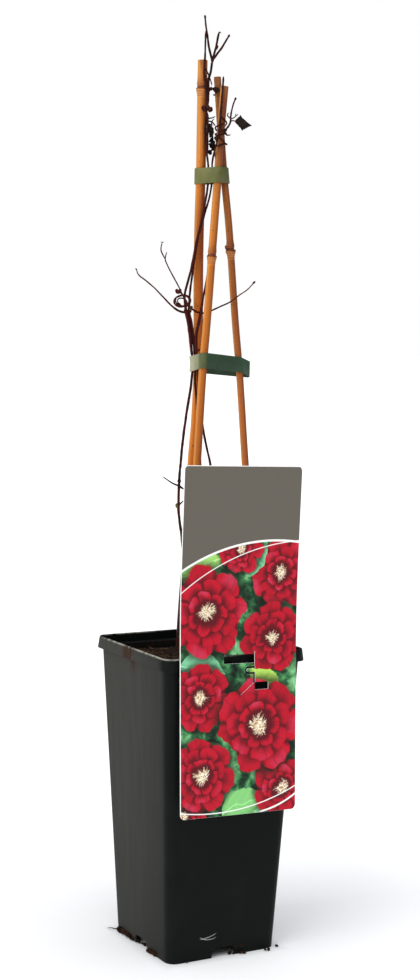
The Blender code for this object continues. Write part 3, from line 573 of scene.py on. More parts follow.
@dataclass(frozen=True)
class BambooSkin:
    """The smooth, fibrous outside of a dry bamboo culm."""

    name: str
    wood: Wood
    nodes: tuple[float, ...]      # heights of the nodes
    radius: float
    right: Span = (0.875, -0.485)      # direction, across and away, of the side painted in shade; the other side gets painted light
    painted_lit_tone: Colour = (0.66, 0.32, 0.085)
    rings: tuple[float, ...] = (0.0026, 0.004, 0.0053)     # fine rings below each node

    def material(self) -> Finish:
        """Build the material.

        Returns:
            The material.
        """
        made = Material(self.name)
        tones, stain = self.wood.value
        grain = made.attribute("grain")
        height = made.parts(made.place())[2]
        fibre = made.stretched(grain, (2600, 2600, 22), 2)
        streak = made.stretched(grain, (620, 620, 7), 3)
        cloud = made.stretched(grain, (170, 170, 26), 4, 0.6)
        tone = made.ramp(height + (streak - 0.5) * 0.05, tones)
        tone = made.mix(tone, made.scaled(tone, 1.45), made.smooth(streak, 0.46, 0.74) * 0.85)
        tone = made.mix(tone, stain, made.smooth(cloud, 0.5, 0.72) * 0.6)
        tone = made.mix(tone, stain, made.smooth(fibre, 0.58, 0.8) * 0.45)
        fleck = made.stretched(grain, (900, 900, 320), 1)
        tone = made.mix(tone, (0.04, 0.01, 0.004), made.smooth(fleck, 0.69, 0.77) * 0.8)
        # Painted shade: the culm's right side is mixed towards the stain. Painted light: its left side is
        # made paler above about 0.27 m.
        across, away, _ = made.parts(grain)
        side = (across * self.right[0] + away * self.right[1]) / self.radius
        tone = made.mix(tone, stain, made.smooth(side, 0, 1) * 0.65)
        tone = made.mix(tone, self.painted_lit_tone, made.smooth(side, -0.2, -1) * made.smooth(height, 0.262,
            0.285) * 0.5)
        for node in self.nodes:
            tone = self._node(made, tone, stain, height - node + (streak - 0.5) * 0.0012)
        return made.finished(tone, 0.4 + 0.2 * cloud, 0.2, fibre + cloud * 0.6, 0.00006)

    def _node(self, made: Material, tone: Socket, stain: Colour, gap: Socket) -> Socket:
        """Colour one node: fine rings, a waxy collar and a stained foot above it.

        Args:
            made: The material.
            tone: The culm's colour.
            stain: Its stain.
            gap: Height above the node.

        Returns:
            The colour with the node.
        """
        wax = made.smooth(gap, -0.0085, -0.004) * made.smooth(gap, -0.001, -0.0026)
        shade = made.smooth(gap, -0.0012, 0.0004) * made.smooth(gap, 0.01, 0.001)
        scar = made.smooth(abs(gap + 0.0002), 0.0015, 0.0005)
        tone = made.mix(tone, (0.64, 0.27, 0.085), wax * 0.5)
        tone = made.mix(tone, stain, shade * 0.5)
        for below in self.rings:
            tone = made.mix(tone, stain, made.smooth(abs(gap + below), 0.0006, 0.0001) * 0.5)
        return made.mix(tone, (0.085, 0.016, 0.004), scar * 0.85)


@dataclass(frozen=True)
class BambooCut:
    """The sawn end of a culm, with the dots of its fibre bundles."""

    name: str = "bamboo_cut_end"

    def material(self) -> Finish:
        """Build the material.

        Returns:
            The material.
        """
        made = Material(self.name)
        bundles = made.stretched(made.place(), (2600, 2600, 60), 1)
        tone = made.ramp(bundles, ((0.35, (0.5, 0.33, 0.16)), (0.55, (0.3, 0.16, 0.07)),
            (0.7, (0.1, 0.04, 0.02))))
        return made.finished(tone, 0.8, 0.2, bundles, 0.0001)


@dataclass(frozen=True)
class PotPlastic:
    """Black moulded plastic, grey on one side with a dusting and painted sheen, with a painted highlight
    along the rim's top edge, and dried soil.
    """

    name: str = "black_pot_plastic"
    centre: Row = (0.0, 0.0064, 0.0)
    foot_half: float = 0.0415
    flare: float = 0.05104        # growth of the half width for each metre of height
    black: Colour = (0.0042, 0.0058, 0.0053)
    dust_and_sheen: Colour = (0.04, 0.0405, 0.035)

    def material(self) -> Finish:
        """Build the material.

        Returns:
            The material.
        """
        made = Material(self.name)
        spot = made.vectors("SUBTRACT", made.place(), self.centre)
        x, y, height = made.parts(spot)
        out = height * self.flare + self.foot_half
        cloud = made.noise(spot, 34, 5, 0.62, 0.5)
        runs = made.stretched(spot, (260, 260, 14), 3, 0.6)
        grit = made.noise(spot, 900, 3, 0.7)
        # A dusting and painted sheen on the left face, weaker towards the front corner and towards the
        # foot.
        side = made.smooth(x + out, 0.0042, 0.0006) * made.smooth(y + out, 0.003, 0.013)
        dust_and_sheen_fade = made.smooth(y + out, 0.005, 0.062) * 0.46 + made.smooth(height, 0.01, 0.19) * 0.26 + 0.28
        side = side * dust_and_sheen_fade
        dust_and_sheen = side * (0.42 + 1.1 * runs) + made.smooth(cloud, 0.45, 0.75) * 0.05
        tone = made.mix(self.black, self.dust_and_sheen, made.maths("MINIMUM", dust_and_sheen, 1))
        tone = made.mix(tone, (0.075, 0.072, 0.06), made.smooth(grit, 0.6, 0.74) * dust_and_sheen * 0.35)
        tone = made.mix(tone, (0.012, 0.011, 0.01), made.smooth(grit, 0.4, 0.28) * dust_and_sheen * 0.4)
        # Painted highlight along the rim's top edge, on the left.
        painted_rim_highlight = made.smooth(height, 0.2088, 0.2097) * made.smooth(x, 0.01, -0.02)
        tone = made.mix(tone, (0.34, 0.33, 0.28), painted_rim_highlight * made.smooth(cloud + runs, 0.8, 1.05) * 0.8)
        tone = made.mix(tone, (0.034, 0.012, 0.006), self._soil(made, spot, x, y, height))
        tone = made.mix(tone, (0.42, 0.43, 0.42), self._scratch(made, x, y, height, cloud))
        return made.finished(tone, 0.46 + 0.2 * dust_and_sheen, 0.07,
            made.noise(spot, 2400, 2) * 0.5 + cloud * 0.25 + grit * dust_and_sheen, 0.00007)

    def _soil(self, made: Material, spot: Socket, x: Socket, y: Socket, height: Socket) -> Socket:
        """How much dried soil lies on the wall: a spill from the rim, the foot and the inside.

        Args:
            made: The material.
            spot: The place off the pot's axis.
            x: Its first number.
            y: Its second number.
            height: Its height.

        Returns:
            The share of soil.
        """
        blot = made.stretched(spot, (260, 260, 90), 4, 0.65)
        spill = made.smooth(abs(y - 0.001), 0.012, 0.004) * made.smooth(height, 0.189, 0.202)
        spill = spill * made.smooth(x, -0.042, -0.047) * made.smooth(blot, 0.4, 0.54)
        foot = made.smooth(height, 0.006, 0.001) * made.smooth(x, -0.036, -0.04) * made.smooth(blot, 0.42,
            0.6) * made.smooth(y, -0.034, -0.028)
        inner = made.smooth(made.maths("MAXIMUM", abs(x), abs(y)), 0.0515, 0.05)
        brim = inner * made.smooth(height, 0.1985, 0.201) * made.smooth(blot, 0.44, 0.6)
        return made.maths("MINIMUM", spill + foot * 0.7 + brim * 0.5, 0.9)

    def _scratch(self, made: Material, x: Socket, y: Socket, height: Socket, cloud: Socket) -> Socket:
        """Two fine white curved scuffs low on the front.

        Args:
            made: The material.
            x: Across the front.
            y: Away from it.
            height: The height.
            cloud: A slow noise.

        Returns:
            The share of white.
        """
        front = made.smooth(y, -0.036, -0.04)
        across = (x + 0.0125) / 0.0065
        reach = made.smooth(abs(across), 1.05, 0.7)
        total = 0
        for level, bend, tilt in ((0.0135, 0.0022, -0.0009), (0.0152, 0.001, 0.0012)):
            line = height - level - across * across * bend - across * tilt
            total = made.smooth(abs(line + (cloud - 0.5) * 0.004), 0.00042, 0.00012) + total
        return front * made.maths("MINIMUM", total * reach * 0.75, 1)


@dataclass(frozen=True)
class StripPlastic:
    """Satin plastic strip whose tone, painted light and shade, changes across the plant's front, with faint
    lengthwise scuffs.
    """

    name: str
    tones: tuple[tuple[float, Colour], ...]      # painted light and shade, by millimetres across the plant's front
    start: float = -12.0
    end: float = 32.0

    def material(self) -> Finish:
        """Build the material.

        Returns:
            The material.
        """
        made = Material(self.name)
        spot = made.vectors("SUBTRACT", made.place(), tuple(PLANT_AXIS))
        x, y, _ = made.parts(spot)
        across = x * (math.cos(PLANT_TURN) / MM) + y * (math.sin(PLANT_TURN) / MM)
        cloud = made.noise(spot, 110, 3, 0.6)
        scuff = made.stretched(spot, (260, 260, 2600), 2)
        reach = self.end - self.start
        stops = tuple(((place - self.start) / reach, tone) for place, tone in self.tones)
        # Painted light and shade: the tone follows the place across the plant's front.
        tone = made.ramp((across - self.start) / reach + (cloud - 0.5) * 0.03, stops)
        tone = made.mix(tone, made.scaled(tone, 0.72), made.smooth(cloud, 0.42, 0.7) * 0.5)
        tone = made.mix(tone, made.scaled(tone, 1.6), made.smooth(scuff, 0.62, 0.75) * 0.4)
        return made.finished(tone, 0.42 + 0.16 * cloud, 0.22, scuff + cloud, 0.00004)


@dataclass(frozen=True)
class Bark:
    """Dry ridged bark of a thin woody climber, dark with reddish and pale strips."""

    name: str
    dark: Colour = (0.007, 0.0026, 0.0023)
    warm: Colour = (0.048, 0.0085, 0.006)
    pale: Colour = (0.13, 0.06, 0.04)
    red: Colour = (0.105, 0.0085, 0.0065)     # of the stems between the bands

    def material(self) -> Finish:
        """Build the material.

        Returns:
            The material.
        """
        made = Material(self.name)
        grain = made.attribute("grain")
        ridge = made.stretched(grain, (2600, 2600, 60), 2)
        cloud = made.stretched(grain, (300, 300, 45), 3)
        strip = made.stretched(grain, (1500, 1500, 25), 1)
        tone = made.mix(self.dark, self.warm, made.smooth(ridge * 0.5 + cloud * 0.5, 0.36, 0.6))
        height = made.parts(made.place())[2]
        fresh = made.smooth(height, 0.505, 0.47) * made.smooth(height, 0.33, 0.41)
        tone = made.mix(tone, self.red, fresh * made.smooth(ridge, 0.35, 0.6) * 0.55)
        tone = made.mix(tone, self.pale, made.smooth(strip, 0.64, 0.72) * made.smooth(cloud, 0.5,
            0.7) * 0.6)
        return made.finished(tone, 0.62, 0.09, ridge + strip * 0.5, 0.00012)


@dataclass(frozen=True)
class DryLeaf:
    """A shrivelled leaf, almost black, with a network of veins."""

    name: str = "dried_leaf"

    def material(self) -> Finish:
        """Build the material.

        Returns:
            The material.
        """
        made = Material(self.name)
        spot = made.place()
        cloud = made.noise(spot, 260, 4, 0.6)
        veins = made.node("ShaderNodeTexVoronoi", {"feature": "DISTANCE_TO_EDGE"},
            {"Vector": spot, "Scale": 620})
        tone = made.mix((0.0045, 0.0032, 0.0028), (0.02, 0.011, 0.008), made.smooth(cloud, 0.35, 0.7))
        tone = made.mix((0.04, 0.022, 0.014), tone, made.smooth(veins, 0, 0.07) * 0.7 + 0.3)
        return made.finished(tone, 0.7, 0.1, cloud + made.smooth(veins, 0, 0.12), 0.00018)


@dataclass(frozen=True)
class Compost:
    """Dark moist compost, or one of the lighter bits in it."""

    name: str
    dark: Colour
    light: Colour
    grain: float

    def material(self) -> Finish:
        """Build the material.

        Returns:
            The material.
        """
        made = Material(self.name)
        spot = made.place()
        coarse = made.noise(spot, 150, 3, 0.6)
        fine = made.noise(spot, self.grain, 4, 0.7)
        tone = made.mix(self.dark, self.light, made.smooth(coarse * 0.5 + fine * 0.5, 0.38, 0.66))
        return made.finished(tone, 0.92, 0.1, fine + coarse, 0.0006)


@dataclass(frozen=True)
class Rosette:
    """A round blossom of many petals printed on the card, in the card's millimetres."""

    x: float
    y: float
    radius: float
    turn: float


@dataclass(frozen=True)
class PrintedLeaf:
    """A pointed leaf printed on the card: where it starts, its length, half-width and angle."""

    x: float
    y: float
    length: float
    width: float
    angle: float
    tone: Colour


@dataclass(frozen=True)
class Arc:
    """A circle that bounds or lines the print, in the card's millimetres."""

    x: float
    y: float
    radius: float

    def outside(self, made: Material, x: Socket, y: Socket) -> Socket:
        """How far a spot lies outside the circle."""
        across, up = x - self.x, y - self.y
        return made.maths("SQRT", across * across + up * up) - self.radius


@dataclass(frozen=True)
class CardPrint:
    """The card's front: a plain grey field over a garden picture of rosettes and leaves."""

    name: str = "card_print"
    field_grey: Colour = (0.116, 0.103, 0.084)
    white: Colour = (0.93, 0.92, 0.89)
    deep: Colour = (0.105, 0.003, 0.008)
    bright: Colour = (0.56, 0.0035, 0.022)
    blush: Colour = (0.62, 0.055, 0.13)
    rings: tuple[float, ...] = (1.0, 0.74, 0.49)
    leaves: tuple[PrintedLeaf, ...] = (
        PrintedLeaf(-44, 42, 34, 10, 24, (0.36, 0.7, 0.18)),
        PrintedLeaf(4, 60, 34, 11, -42, (0.2, 0.58, 0.3)),
        PrintedLeaf(44, 30, 32, 11, 150, (0.32, 0.68, 0.16)),
        PrintedLeaf(44, -8, 34, 12, 176, (0.42, 0.72, 0.14)),
        PrintedLeaf(-44, -14, 36, 12, -14, (0.22, 0.62, 0.34)),
        PrintedLeaf(8, -18, 30, 9, -34, (0.46, 0.74, 0.12)),
        PrintedLeaf(44, -60, 34, 12, 118, (0.05, 0.3, 0.13)),
        PrintedLeaf(-8, -70, 34, 11, -150, (0.1, 0.46, 0.16)),
        PrintedLeaf(-14, -113, 36, 11, 14, (0.24, 0.62, 0.2)),
        PrintedLeaf(44, -113, 30, 10, 112, (0.12, 0.5, 0.26)),
    )
    petals: int = 7
    beds: tuple[tuple[Rosette, ...], ...] = (       # the ones behind, then the ones in front
        (Rosette(31, 44, 24, 0.2), Rosette(-29, -37, 23, 0.9), Rosette(33, -100, 22, 0.1),
         Rosette(-42, -114, 18, 1.3), Rosette(0, 60, 17, 0.4)),
        (Rosette(-24, 19, 31, 0), Rosette(25, 1, 24, 0.5), Rosette(15, -57, 33, 0.3),
         Rosette(-28, -88, 25, 0.6)),
    )

    def material(self) -> Finish:
        """Build the material.

        Returns:
            The material.
        """
        made = Material(self.name)
        flat = made.attribute("card")
        x, y, _ = made.parts(flat)
        sway = made.node("ShaderNodeTexNoise", None, {"Vector": flat, "Scale": 0.1, "Detail": 3}, "Color")
        spot = made.vectors("ADD", flat, made.scaled(made.vectors("SUBTRACT", sway, (0.5, 0.5, 0.5)), 8))
        tone = made.ramp(made.noise(spot, 0.065, 4, 0.6),
            ((0.36, (0.002, 0.006, 0.003)), (0.44, (0.01, 0.06, 0.022)), (0.51, (0.045, 0.21, 0.07)),
            (0.58, (0.18, 0.5, 0.2)), (0.68, (0.34, 0.7, 0.38))))
        across, up, _ = made.parts(spot)
        for leaf in self.leaves:
            tone = self._leaf(made, tone, across, up, leaf)
        for bed in self.beds:
            tone = self._rosettes(made, tone, made.joined(across, up, 0), bed)
        edge = Arc(25.1, -63.4, 129.1).outside(made, x, y)
        grey = made.mix(self.field_grey, (0.138, 0.124, 0.102), made.noise(flat, 0.9, 3))
        tone = made.mix(tone, grey, made.smooth(edge, -0.2, 0.2))
        lines = ((edge, 0.72), (Arc(53.1, -87.9, 153.6).outside(made, x, y), 0.3),
            (Arc(-18.8, 37.3, 150.3).outside(made, x, y), 0.36))
        for gap, half in lines:
            tone = made.mix(tone, self.white, made.smooth(abs(gap), half + 0.16, half - 0.16))
        sweep = made.smooth(abs(Arc(7.4, -48.4, 66.9).outside(made, x, y)), 0.75, 0.45)
        sweep = sweep * made.smooth(x, 13, 19) * made.smooth(y, -90, -95)
        tone = made.mix(tone, self.white, sweep)
        side = made.smooth(x, -43, -43.2) + made.smooth(y, 114.75, 114.95)
        tone = made.mix(tone, self.white, made.maths("MINIMUM", side, 1))
        return made.finished(tone, 0.42, 0.2, made.noise(flat, 0.35, 2), 0.00003)

    def _leaf(self, made: Material, under: Socket, x: Socket, y: Socket, leaf: PrintedLeaf) -> Socket:
        """Lay a leaf over what is printed under it.

        Args:
            made: The material.
            under: What is printed so far.
            x: Across the card.
            y: Up the card.
            leaf: The leaf.

        Returns:
            The print with the leaf.
        """
        turn = math.radians(leaf.angle)
        along = ((x - leaf.x) * math.cos(turn) + (y - leaf.y) * math.sin(turn)) / leaf.length
        along = made.maths("MINIMUM", made.maths("MAXIMUM", along, 0), 1)
        across = ((y - leaf.y) * math.cos(turn) - (x - leaf.x) * math.sin(turn)) / leaf.width
        side = abs(across)
        outline = along * (1 - along) * (5.2 - 2.6 * along)
        share = made.smooth(outline - side, 0, 0.08)
        rib = made.smooth(side, 0.07, 0.02)
        branch = made.maths("FRACT", along * 6 - side * 1.6)
        rib = made.maths("MAXIMUM", rib, made.smooth(branch, 0.14, 0.04) * 0.35)
        dark = tuple(0.3 * part for part in leaf.tone)
        light = tuple(min(0.9, 1.3 * part + 0.03) for part in leaf.tone)
        face = made.mix(dark, leaf.tone, made.smooth(across * 0.5 + outline * 0.6, -0.15, 0.45))
        return made.mix(under, made.mix(face, light, rib), share)

    def _rosettes(self, made: Material, under: Socket, spot: Socket, bed: tuple[Rosette, ...]) -> Socket:
        """Lay rosettes over what is printed under them, ring by ring from the outside.

        The last rosette that covers a spot gives it its own axes, so the petals are drawn once.

        Args:
            made: The material.
            under: What is printed so far.
            spot: The place on the card.
            bed: The rosettes.

        Returns:
            The print with the rosettes.
        """
        own = made.joined(9, 9, 0)
        for bloom in bed:
            gap = made.scaled(made.vectors("SUBTRACT", spot, (bloom.x, bloom.y, 0)), 1 / bloom.radius)
            length = made.node("ShaderNodeVectorMath", {"operation": "LENGTH"}, {0: gap}, "Value")
            own = made.node("ShaderNodeMix", {"data_type": "VECTOR"},
                {0: made.maths("LESS_THAN", length, 1.15), 4: own,
                5: made.vectors("ADD", gap, (0, 0, bloom.turn))}, 1)
        across, up, turn = made.parts(own)
        reach = made.maths("SQRT", across * across + up * up)
        angle = made.maths("ARCTAN2", up, across)
        veins = made.noise(made.joined(angle * 14, reach * 2, turn), 1, 2)
        under = made.mix(under, (0.003, 0.008, 0.004), made.smooth(reach, 1.15, 0.92) * 0.85)
        for count, size in enumerate(self.rings):
            phase = angle * (self.petals / 2) + turn + (count % 2) * math.pi / 2
            lobe = abs(made.maths("COSINE", phase))
            number = made.maths("FLOORED_MODULO", made.maths("FLOOR", phase / math.pi + 0.5), self.petals)
            each = made.node("ShaderNodeTexWhiteNoise", {"noise_dimensions": "2D"},
                {"Vector": made.joined(number, turn + count, 0)})
            inner = reach / ((0.82 + 0.18 * lobe ** 0.5) * size) + each * 0.05
            shade = made.smooth(inner, 0.62, 0.9) * made.smooth(lobe, 0, 0.45)
            petal = made.mix(self.deep, self.bright, shade * (0.75 + 0.35 * each))
            petal = made.mix(petal, self.blush, made.smooth(each, 0.55, 1) * made.smooth(lobe, 0.5,
                1) * made.smooth(inner, 0.7, 0.95) * 0.55)
            petal = made.mix(petal, self.deep, made.smooth(veins, 0.48, 0.72) * 0.35)
            under = made.mix(under, petal, made.smooth(inner, 1.02, 0.98))
        dots = made.noise(made.joined(across, up, turn), 26, 2)
        heart = made.ramp(dots, ((0.36, (0.3, 0.1, 0.03)), (0.48, (0.8, 0.62, 0.36)),
            (0.6, (0.95, 0.92, 0.8))))
        fringe = made.smooth(reach + (veins - 0.5) * 0.42, 0.19, 0.14)
        return made.mix(under, heart, fringe)


@dataclass(frozen=True)
class CardBack:
    """The card's bare back and edges: plain white sheet with faint handling marks."""

    name: str = "card_back"

    def material(self) -> Finish:
        """Build the material.

        Returns:
            The material.
        """
        made = Material(self.name)
        spot = made.place()
        marks = made.noise(spot, 60, 4, 0.6)
        tone = made.mix((0.86, 0.86, 0.83), (0.62, 0.6, 0.54), made.smooth(marks, 0.55, 0.8) * 0.5)
        return made.finished(tone, 0.4, 0.5, marks, 0.00004)


@dataclass(frozen=True)
class StudioWhite:
    """The pale floor, darker near the pot as painted shadow, with a painted glow everywhere but under the
    pot so that the shadow stays light.
    """

    name: str = "studio_floor"
    glow: float = 0.18
    pot_away: float = 0.0064      # nothing glows under the pot

    def material(self) -> Finish:
        """Build the material.

        Returns:
            The material.
        """
        made = Material(self.name)
        spot = made.place()
        x, y, _ = made.parts(spot)
        # Painted shadow: the floor's colour is darker near the pot.
        reach = made.maths("SQRT", x * x + y * y) + made.noise(spot, 5, 2) * 0.03
        made.set("Base Color", made.mix((0.815, 0.82, 0.835), (0.985, 0.985, 0.985),
            made.smooth(reach, 0.055, 0.42)))
        beside = made.maths("MAXIMUM", abs(x), abs(y - self.pot_away))
        # Painted light: the floor glows, except under the pot.
        made.set("Emission Color", made.mix((0, 0, 0), (1, 1, 1), made.smooth(beside, 0.037, 0.052)))
        made.set("Emission Strength", self.glow)
        made.set("Roughness", 0.75)
        made.set("Specular IOR Level", 0.2)
        return made.material


class Swept(Geometry):
    """A tree that sweeps fluted tubes along chains of edges, with their grain for the bark."""

    def __init__(self, name: str, inputs: Mapping[str, str]) -> None:
        """Start a sweeping tree.

        Args:
            name: The tree's name.
            inputs: What it takes besides the tube's own inputs.
        """
        super().__init__(name, {**inputs, "Sides": "Int", "Flutes": "Float", "Flute Depth": "Float",
            "Material": "Material"})

    def sweep(self, girth: Socket) -> None:
        """Sweep a fluted circle along the chains and end the tree.

        Args:
            girth: The radius at each of their points.
        """
        curve = self.node("GeometryNodeMeshToCurve", None, {"Mesh": self.given("Geometry")})
        run = self.node("GeometryNodeSplineParameter", None, None, "Length")
        curve = self.store(curve, "along", "FLOAT", run)
        curve = self.store(curve, "girth", "FLOAT", girth)
        curve = self.store(curve, "core", "FLOAT_VECTOR", self.node("GeometryNodeInputPosition"))
        ring = self.node("GeometryNodeCurvePrimitiveCircle", {"mode": "RADIUS"},
            {"Resolution": self.given("Sides"), "Radius": 1.0})
        angle = self.node("GeometryNodeSplineParameter") * (2 * math.pi)
        wave = self.maths("COSINE", angle * self.given("Flutes"))
        spot = self.scaled(self.node("GeometryNodeInputPosition"), 1 + wave * self.given("Flute Depth"))
        ring = self.node("GeometryNodeSetPosition", None, {"Geometry": ring, "Position": spot})
        mesh = self.node("GeometryNodeCurveToMesh", None,
            {"Curve": curve, "Profile Curve": ring, "Scale": self.named("girth", "FLOAT"),
            "Fill Caps": True})
        out = self.vectors("SUBTRACT", self.node("GeometryNodeInputPosition"),
            self.named("core", "FLOAT_VECTOR"))
        along = self.joined(0, 0, self.named("along", "FLOAT"))
        self.end(self.store(mesh, "grain", "FLOAT_VECTOR", self.vectors("ADD", out, along)))


class StemTree(Swept):
    """Geometry Nodes: a tapering fluted tube along every chain of edges."""

    def __init__(self) -> None:
        """Build the tree."""
        super().__init__("swept_stems", {})
        self.sweep(self.named("girth", "FLOAT"))


class CulmTree(Swept):
    """Geometry Nodes: a bamboo culm along its axis, swollen and waisted at two nodes."""

    REACH = 8 * MM
    PROFILE = ((0, 0.5), (0.1, 0.5), (0.2, 0.56), (0.26, 0.62), (0.29, 0.66), (0.34, 0.78),
               (0.41, 0.9), (0.46, 0.92), (0.49, 0.8), (0.505, 0.56), (0.54, 0.52), (0.6, 0.62),
               (0.66, 0.66), (0.8, 0.54), (1, 0.5))

    def __init__(self) -> None:
        """Build the tree."""
        super().__init__("bamboo_culm", {"Radius": "Float", "Lower Node": "Float", "Upper Node": "Float",
            "Swell": "Float"})
        height = self.parts(self.node("GeometryNodeInputPosition"))[2]
        share = self._swell(height - self.given("Lower Node")) + self._swell(height
            - self.given("Upper Node"))
        uneven = (self.noise(self.joined(0, 0, height * 40), 1, 1) - 0.5) * 0.05
        self.sweep(self.given("Radius") * (share + uneven + 1.0))

    def _swell(self, gap: Socket) -> Socket:
        """How much wider the culm is near a node.

        Args:
            gap: The distance above the node.

        Returns:
            The growth as a share of the radius.
        """
        place = self.node("ShaderNodeMapRange", None,
            {"Value": gap, "From Min": -self.REACH, "From Max": self.REACH})
        curve = self.node("ShaderNodeFloatCurve", {"points": self.PROFILE}, {"Value": place})
        return (curve - 0.5) * self.given("Swell")


class ScatterTree(Geometry):
    """Geometry Nodes: copies of a small piece strewn over the upper faces of a surface."""

    def __init__(self) -> None:
        """Build the tree."""
        super().__init__("strewn_bits", {"Piece": "Object", "Density": "Float", "Smallest": "Float",
            "Largest": "Float", "Lean": "Float", "Seed": "Int", "Material": "Material"})
        up = self.parts(self.node("GeometryNodeInputNormal"))[2]
        lies = self.node("FunctionNodeCompare", {"data_type": "FLOAT", "operation": "GREATER_THAN"},
            {0: up, 1: 0.4})
        strewn = self.node("GeometryNodeDistributePointsOnFaces", None,
            {"Mesh": self.given("Geometry"), "Selection": lies, "Density": self.given("Density"),
            "Seed": self.given("Seed")})
        lean = self.given("Lean")
        turn = self.node("FunctionNodeRandomValue", {"data_type": "FLOAT_VECTOR"},
            {"Min": self.joined(lean * -1, lean * -1, 0), "Max": self.joined(lean, lean, 2 * math.pi),
            "Seed": self.given("Seed")})
        size = self.node("FunctionNodeRandomValue", {"data_type": "FLOAT"},
            {2: self.given("Smallest"), 3: self.given("Largest"), "Seed": self.given("Seed")}, 1)
        piece = self.node("GeometryNodeObjectInfo", None, {"Object": self.given("Piece")}, "Geometry")
        self.end(self.node("GeometryNodeInstanceOnPoints", None,
            {"Points": strewn, "Instance": piece, "Rotation": self.node("FunctionNodeEulerToRotation", None,
            {0: turn}), "Scale": self.joined(size, size, size)}))


class BudTree(Geometry):
    """Geometry Nodes: a bud on every point, leaning along its own direction at its own size."""

    def __init__(self) -> None:
        """Build the tree."""
        super().__init__("buds", {"Piece": "Object", "Material": "Material"})
        lean = self.named("lean", "FLOAT_VECTOR")
        turn = self.node("FunctionNodeAlignRotationToVector", {"axis": "Z"}, {"Vector": lean})
        piece = self.node("GeometryNodeObjectInfo", None, {"Object": self.given("Piece")}, "Geometry")
        points = self.node("GeometryNodeMeshToPoints", None, {"Mesh": self.given("Geometry")})
        made = self.node("GeometryNodeInstanceOnPoints", None,
            {"Points": points, "Instance": piece, "Rotation": turn,
            "Scale": self.named("size", "FLOAT_VECTOR")})
        real = self.node("GeometryNodeRealizeInstances", None, {0: made})
        self.end(self.store(real, "grain", "FLOAT_VECTOR", self.node("GeometryNodeInputPosition")))


@cache
def shared(kind: type[Geometry]) -> Geometry:
    """The one tree of a kind, made when it is first asked for."""
    return kind()


@dataclass(frozen=True)
class Strand:
    """A cane or stem that bands and stalks go round: its smooth axis and its radius."""

    path: tuple[Vector, ...]
    radius: float

    def at(self, height: float) -> Vector:
        """The axis at a height; a strand of one place is upright.

        Args:
            height: The height.

        Returns:
            The place.
        """
        if len(self.path) == 1:
            return self.path[0]
        return at_height(self.path, height)


def taut_point(strands: Sequence[Strand], angle: float, level: float, slopes: tuple[float, ...],
        offset: float) -> Vector:
    """A point of the loop drawn taut round strands, where the loop's normal has an angle.

    Args:
        strands: What the loop goes round.
        angle: The normal's angle, in radians.
        level: The loop's height at the plant's axis.
        slopes: How much it rises across the plant and away from its front, and how much more
            its back part rises, even and for each metre across.
        offset: How far it stands off the strands.

    Returns:
        The place on the plant's axes.
    """
    across, away, behind, warp = (*slopes, 0, 0)[:4]
    normal = Vector((math.cos(angle), math.sin(angle), 0))
    best, furthest = Vector(), -math.inf
    for strand in strands:
        centre = strand.at(level)
        centre = strand.at(level + across * centre.x + away * centre.y)
        reach = centre.dot(normal) + strand.radius
        if reach > furthest:
            best, furthest = centre + normal * (strand.radius + offset), reach
    back = max(best.y, 0) * (behind + warp * best.x)
    return Vector((best.x, best.y, level + across * best.x + away * best.y + back))


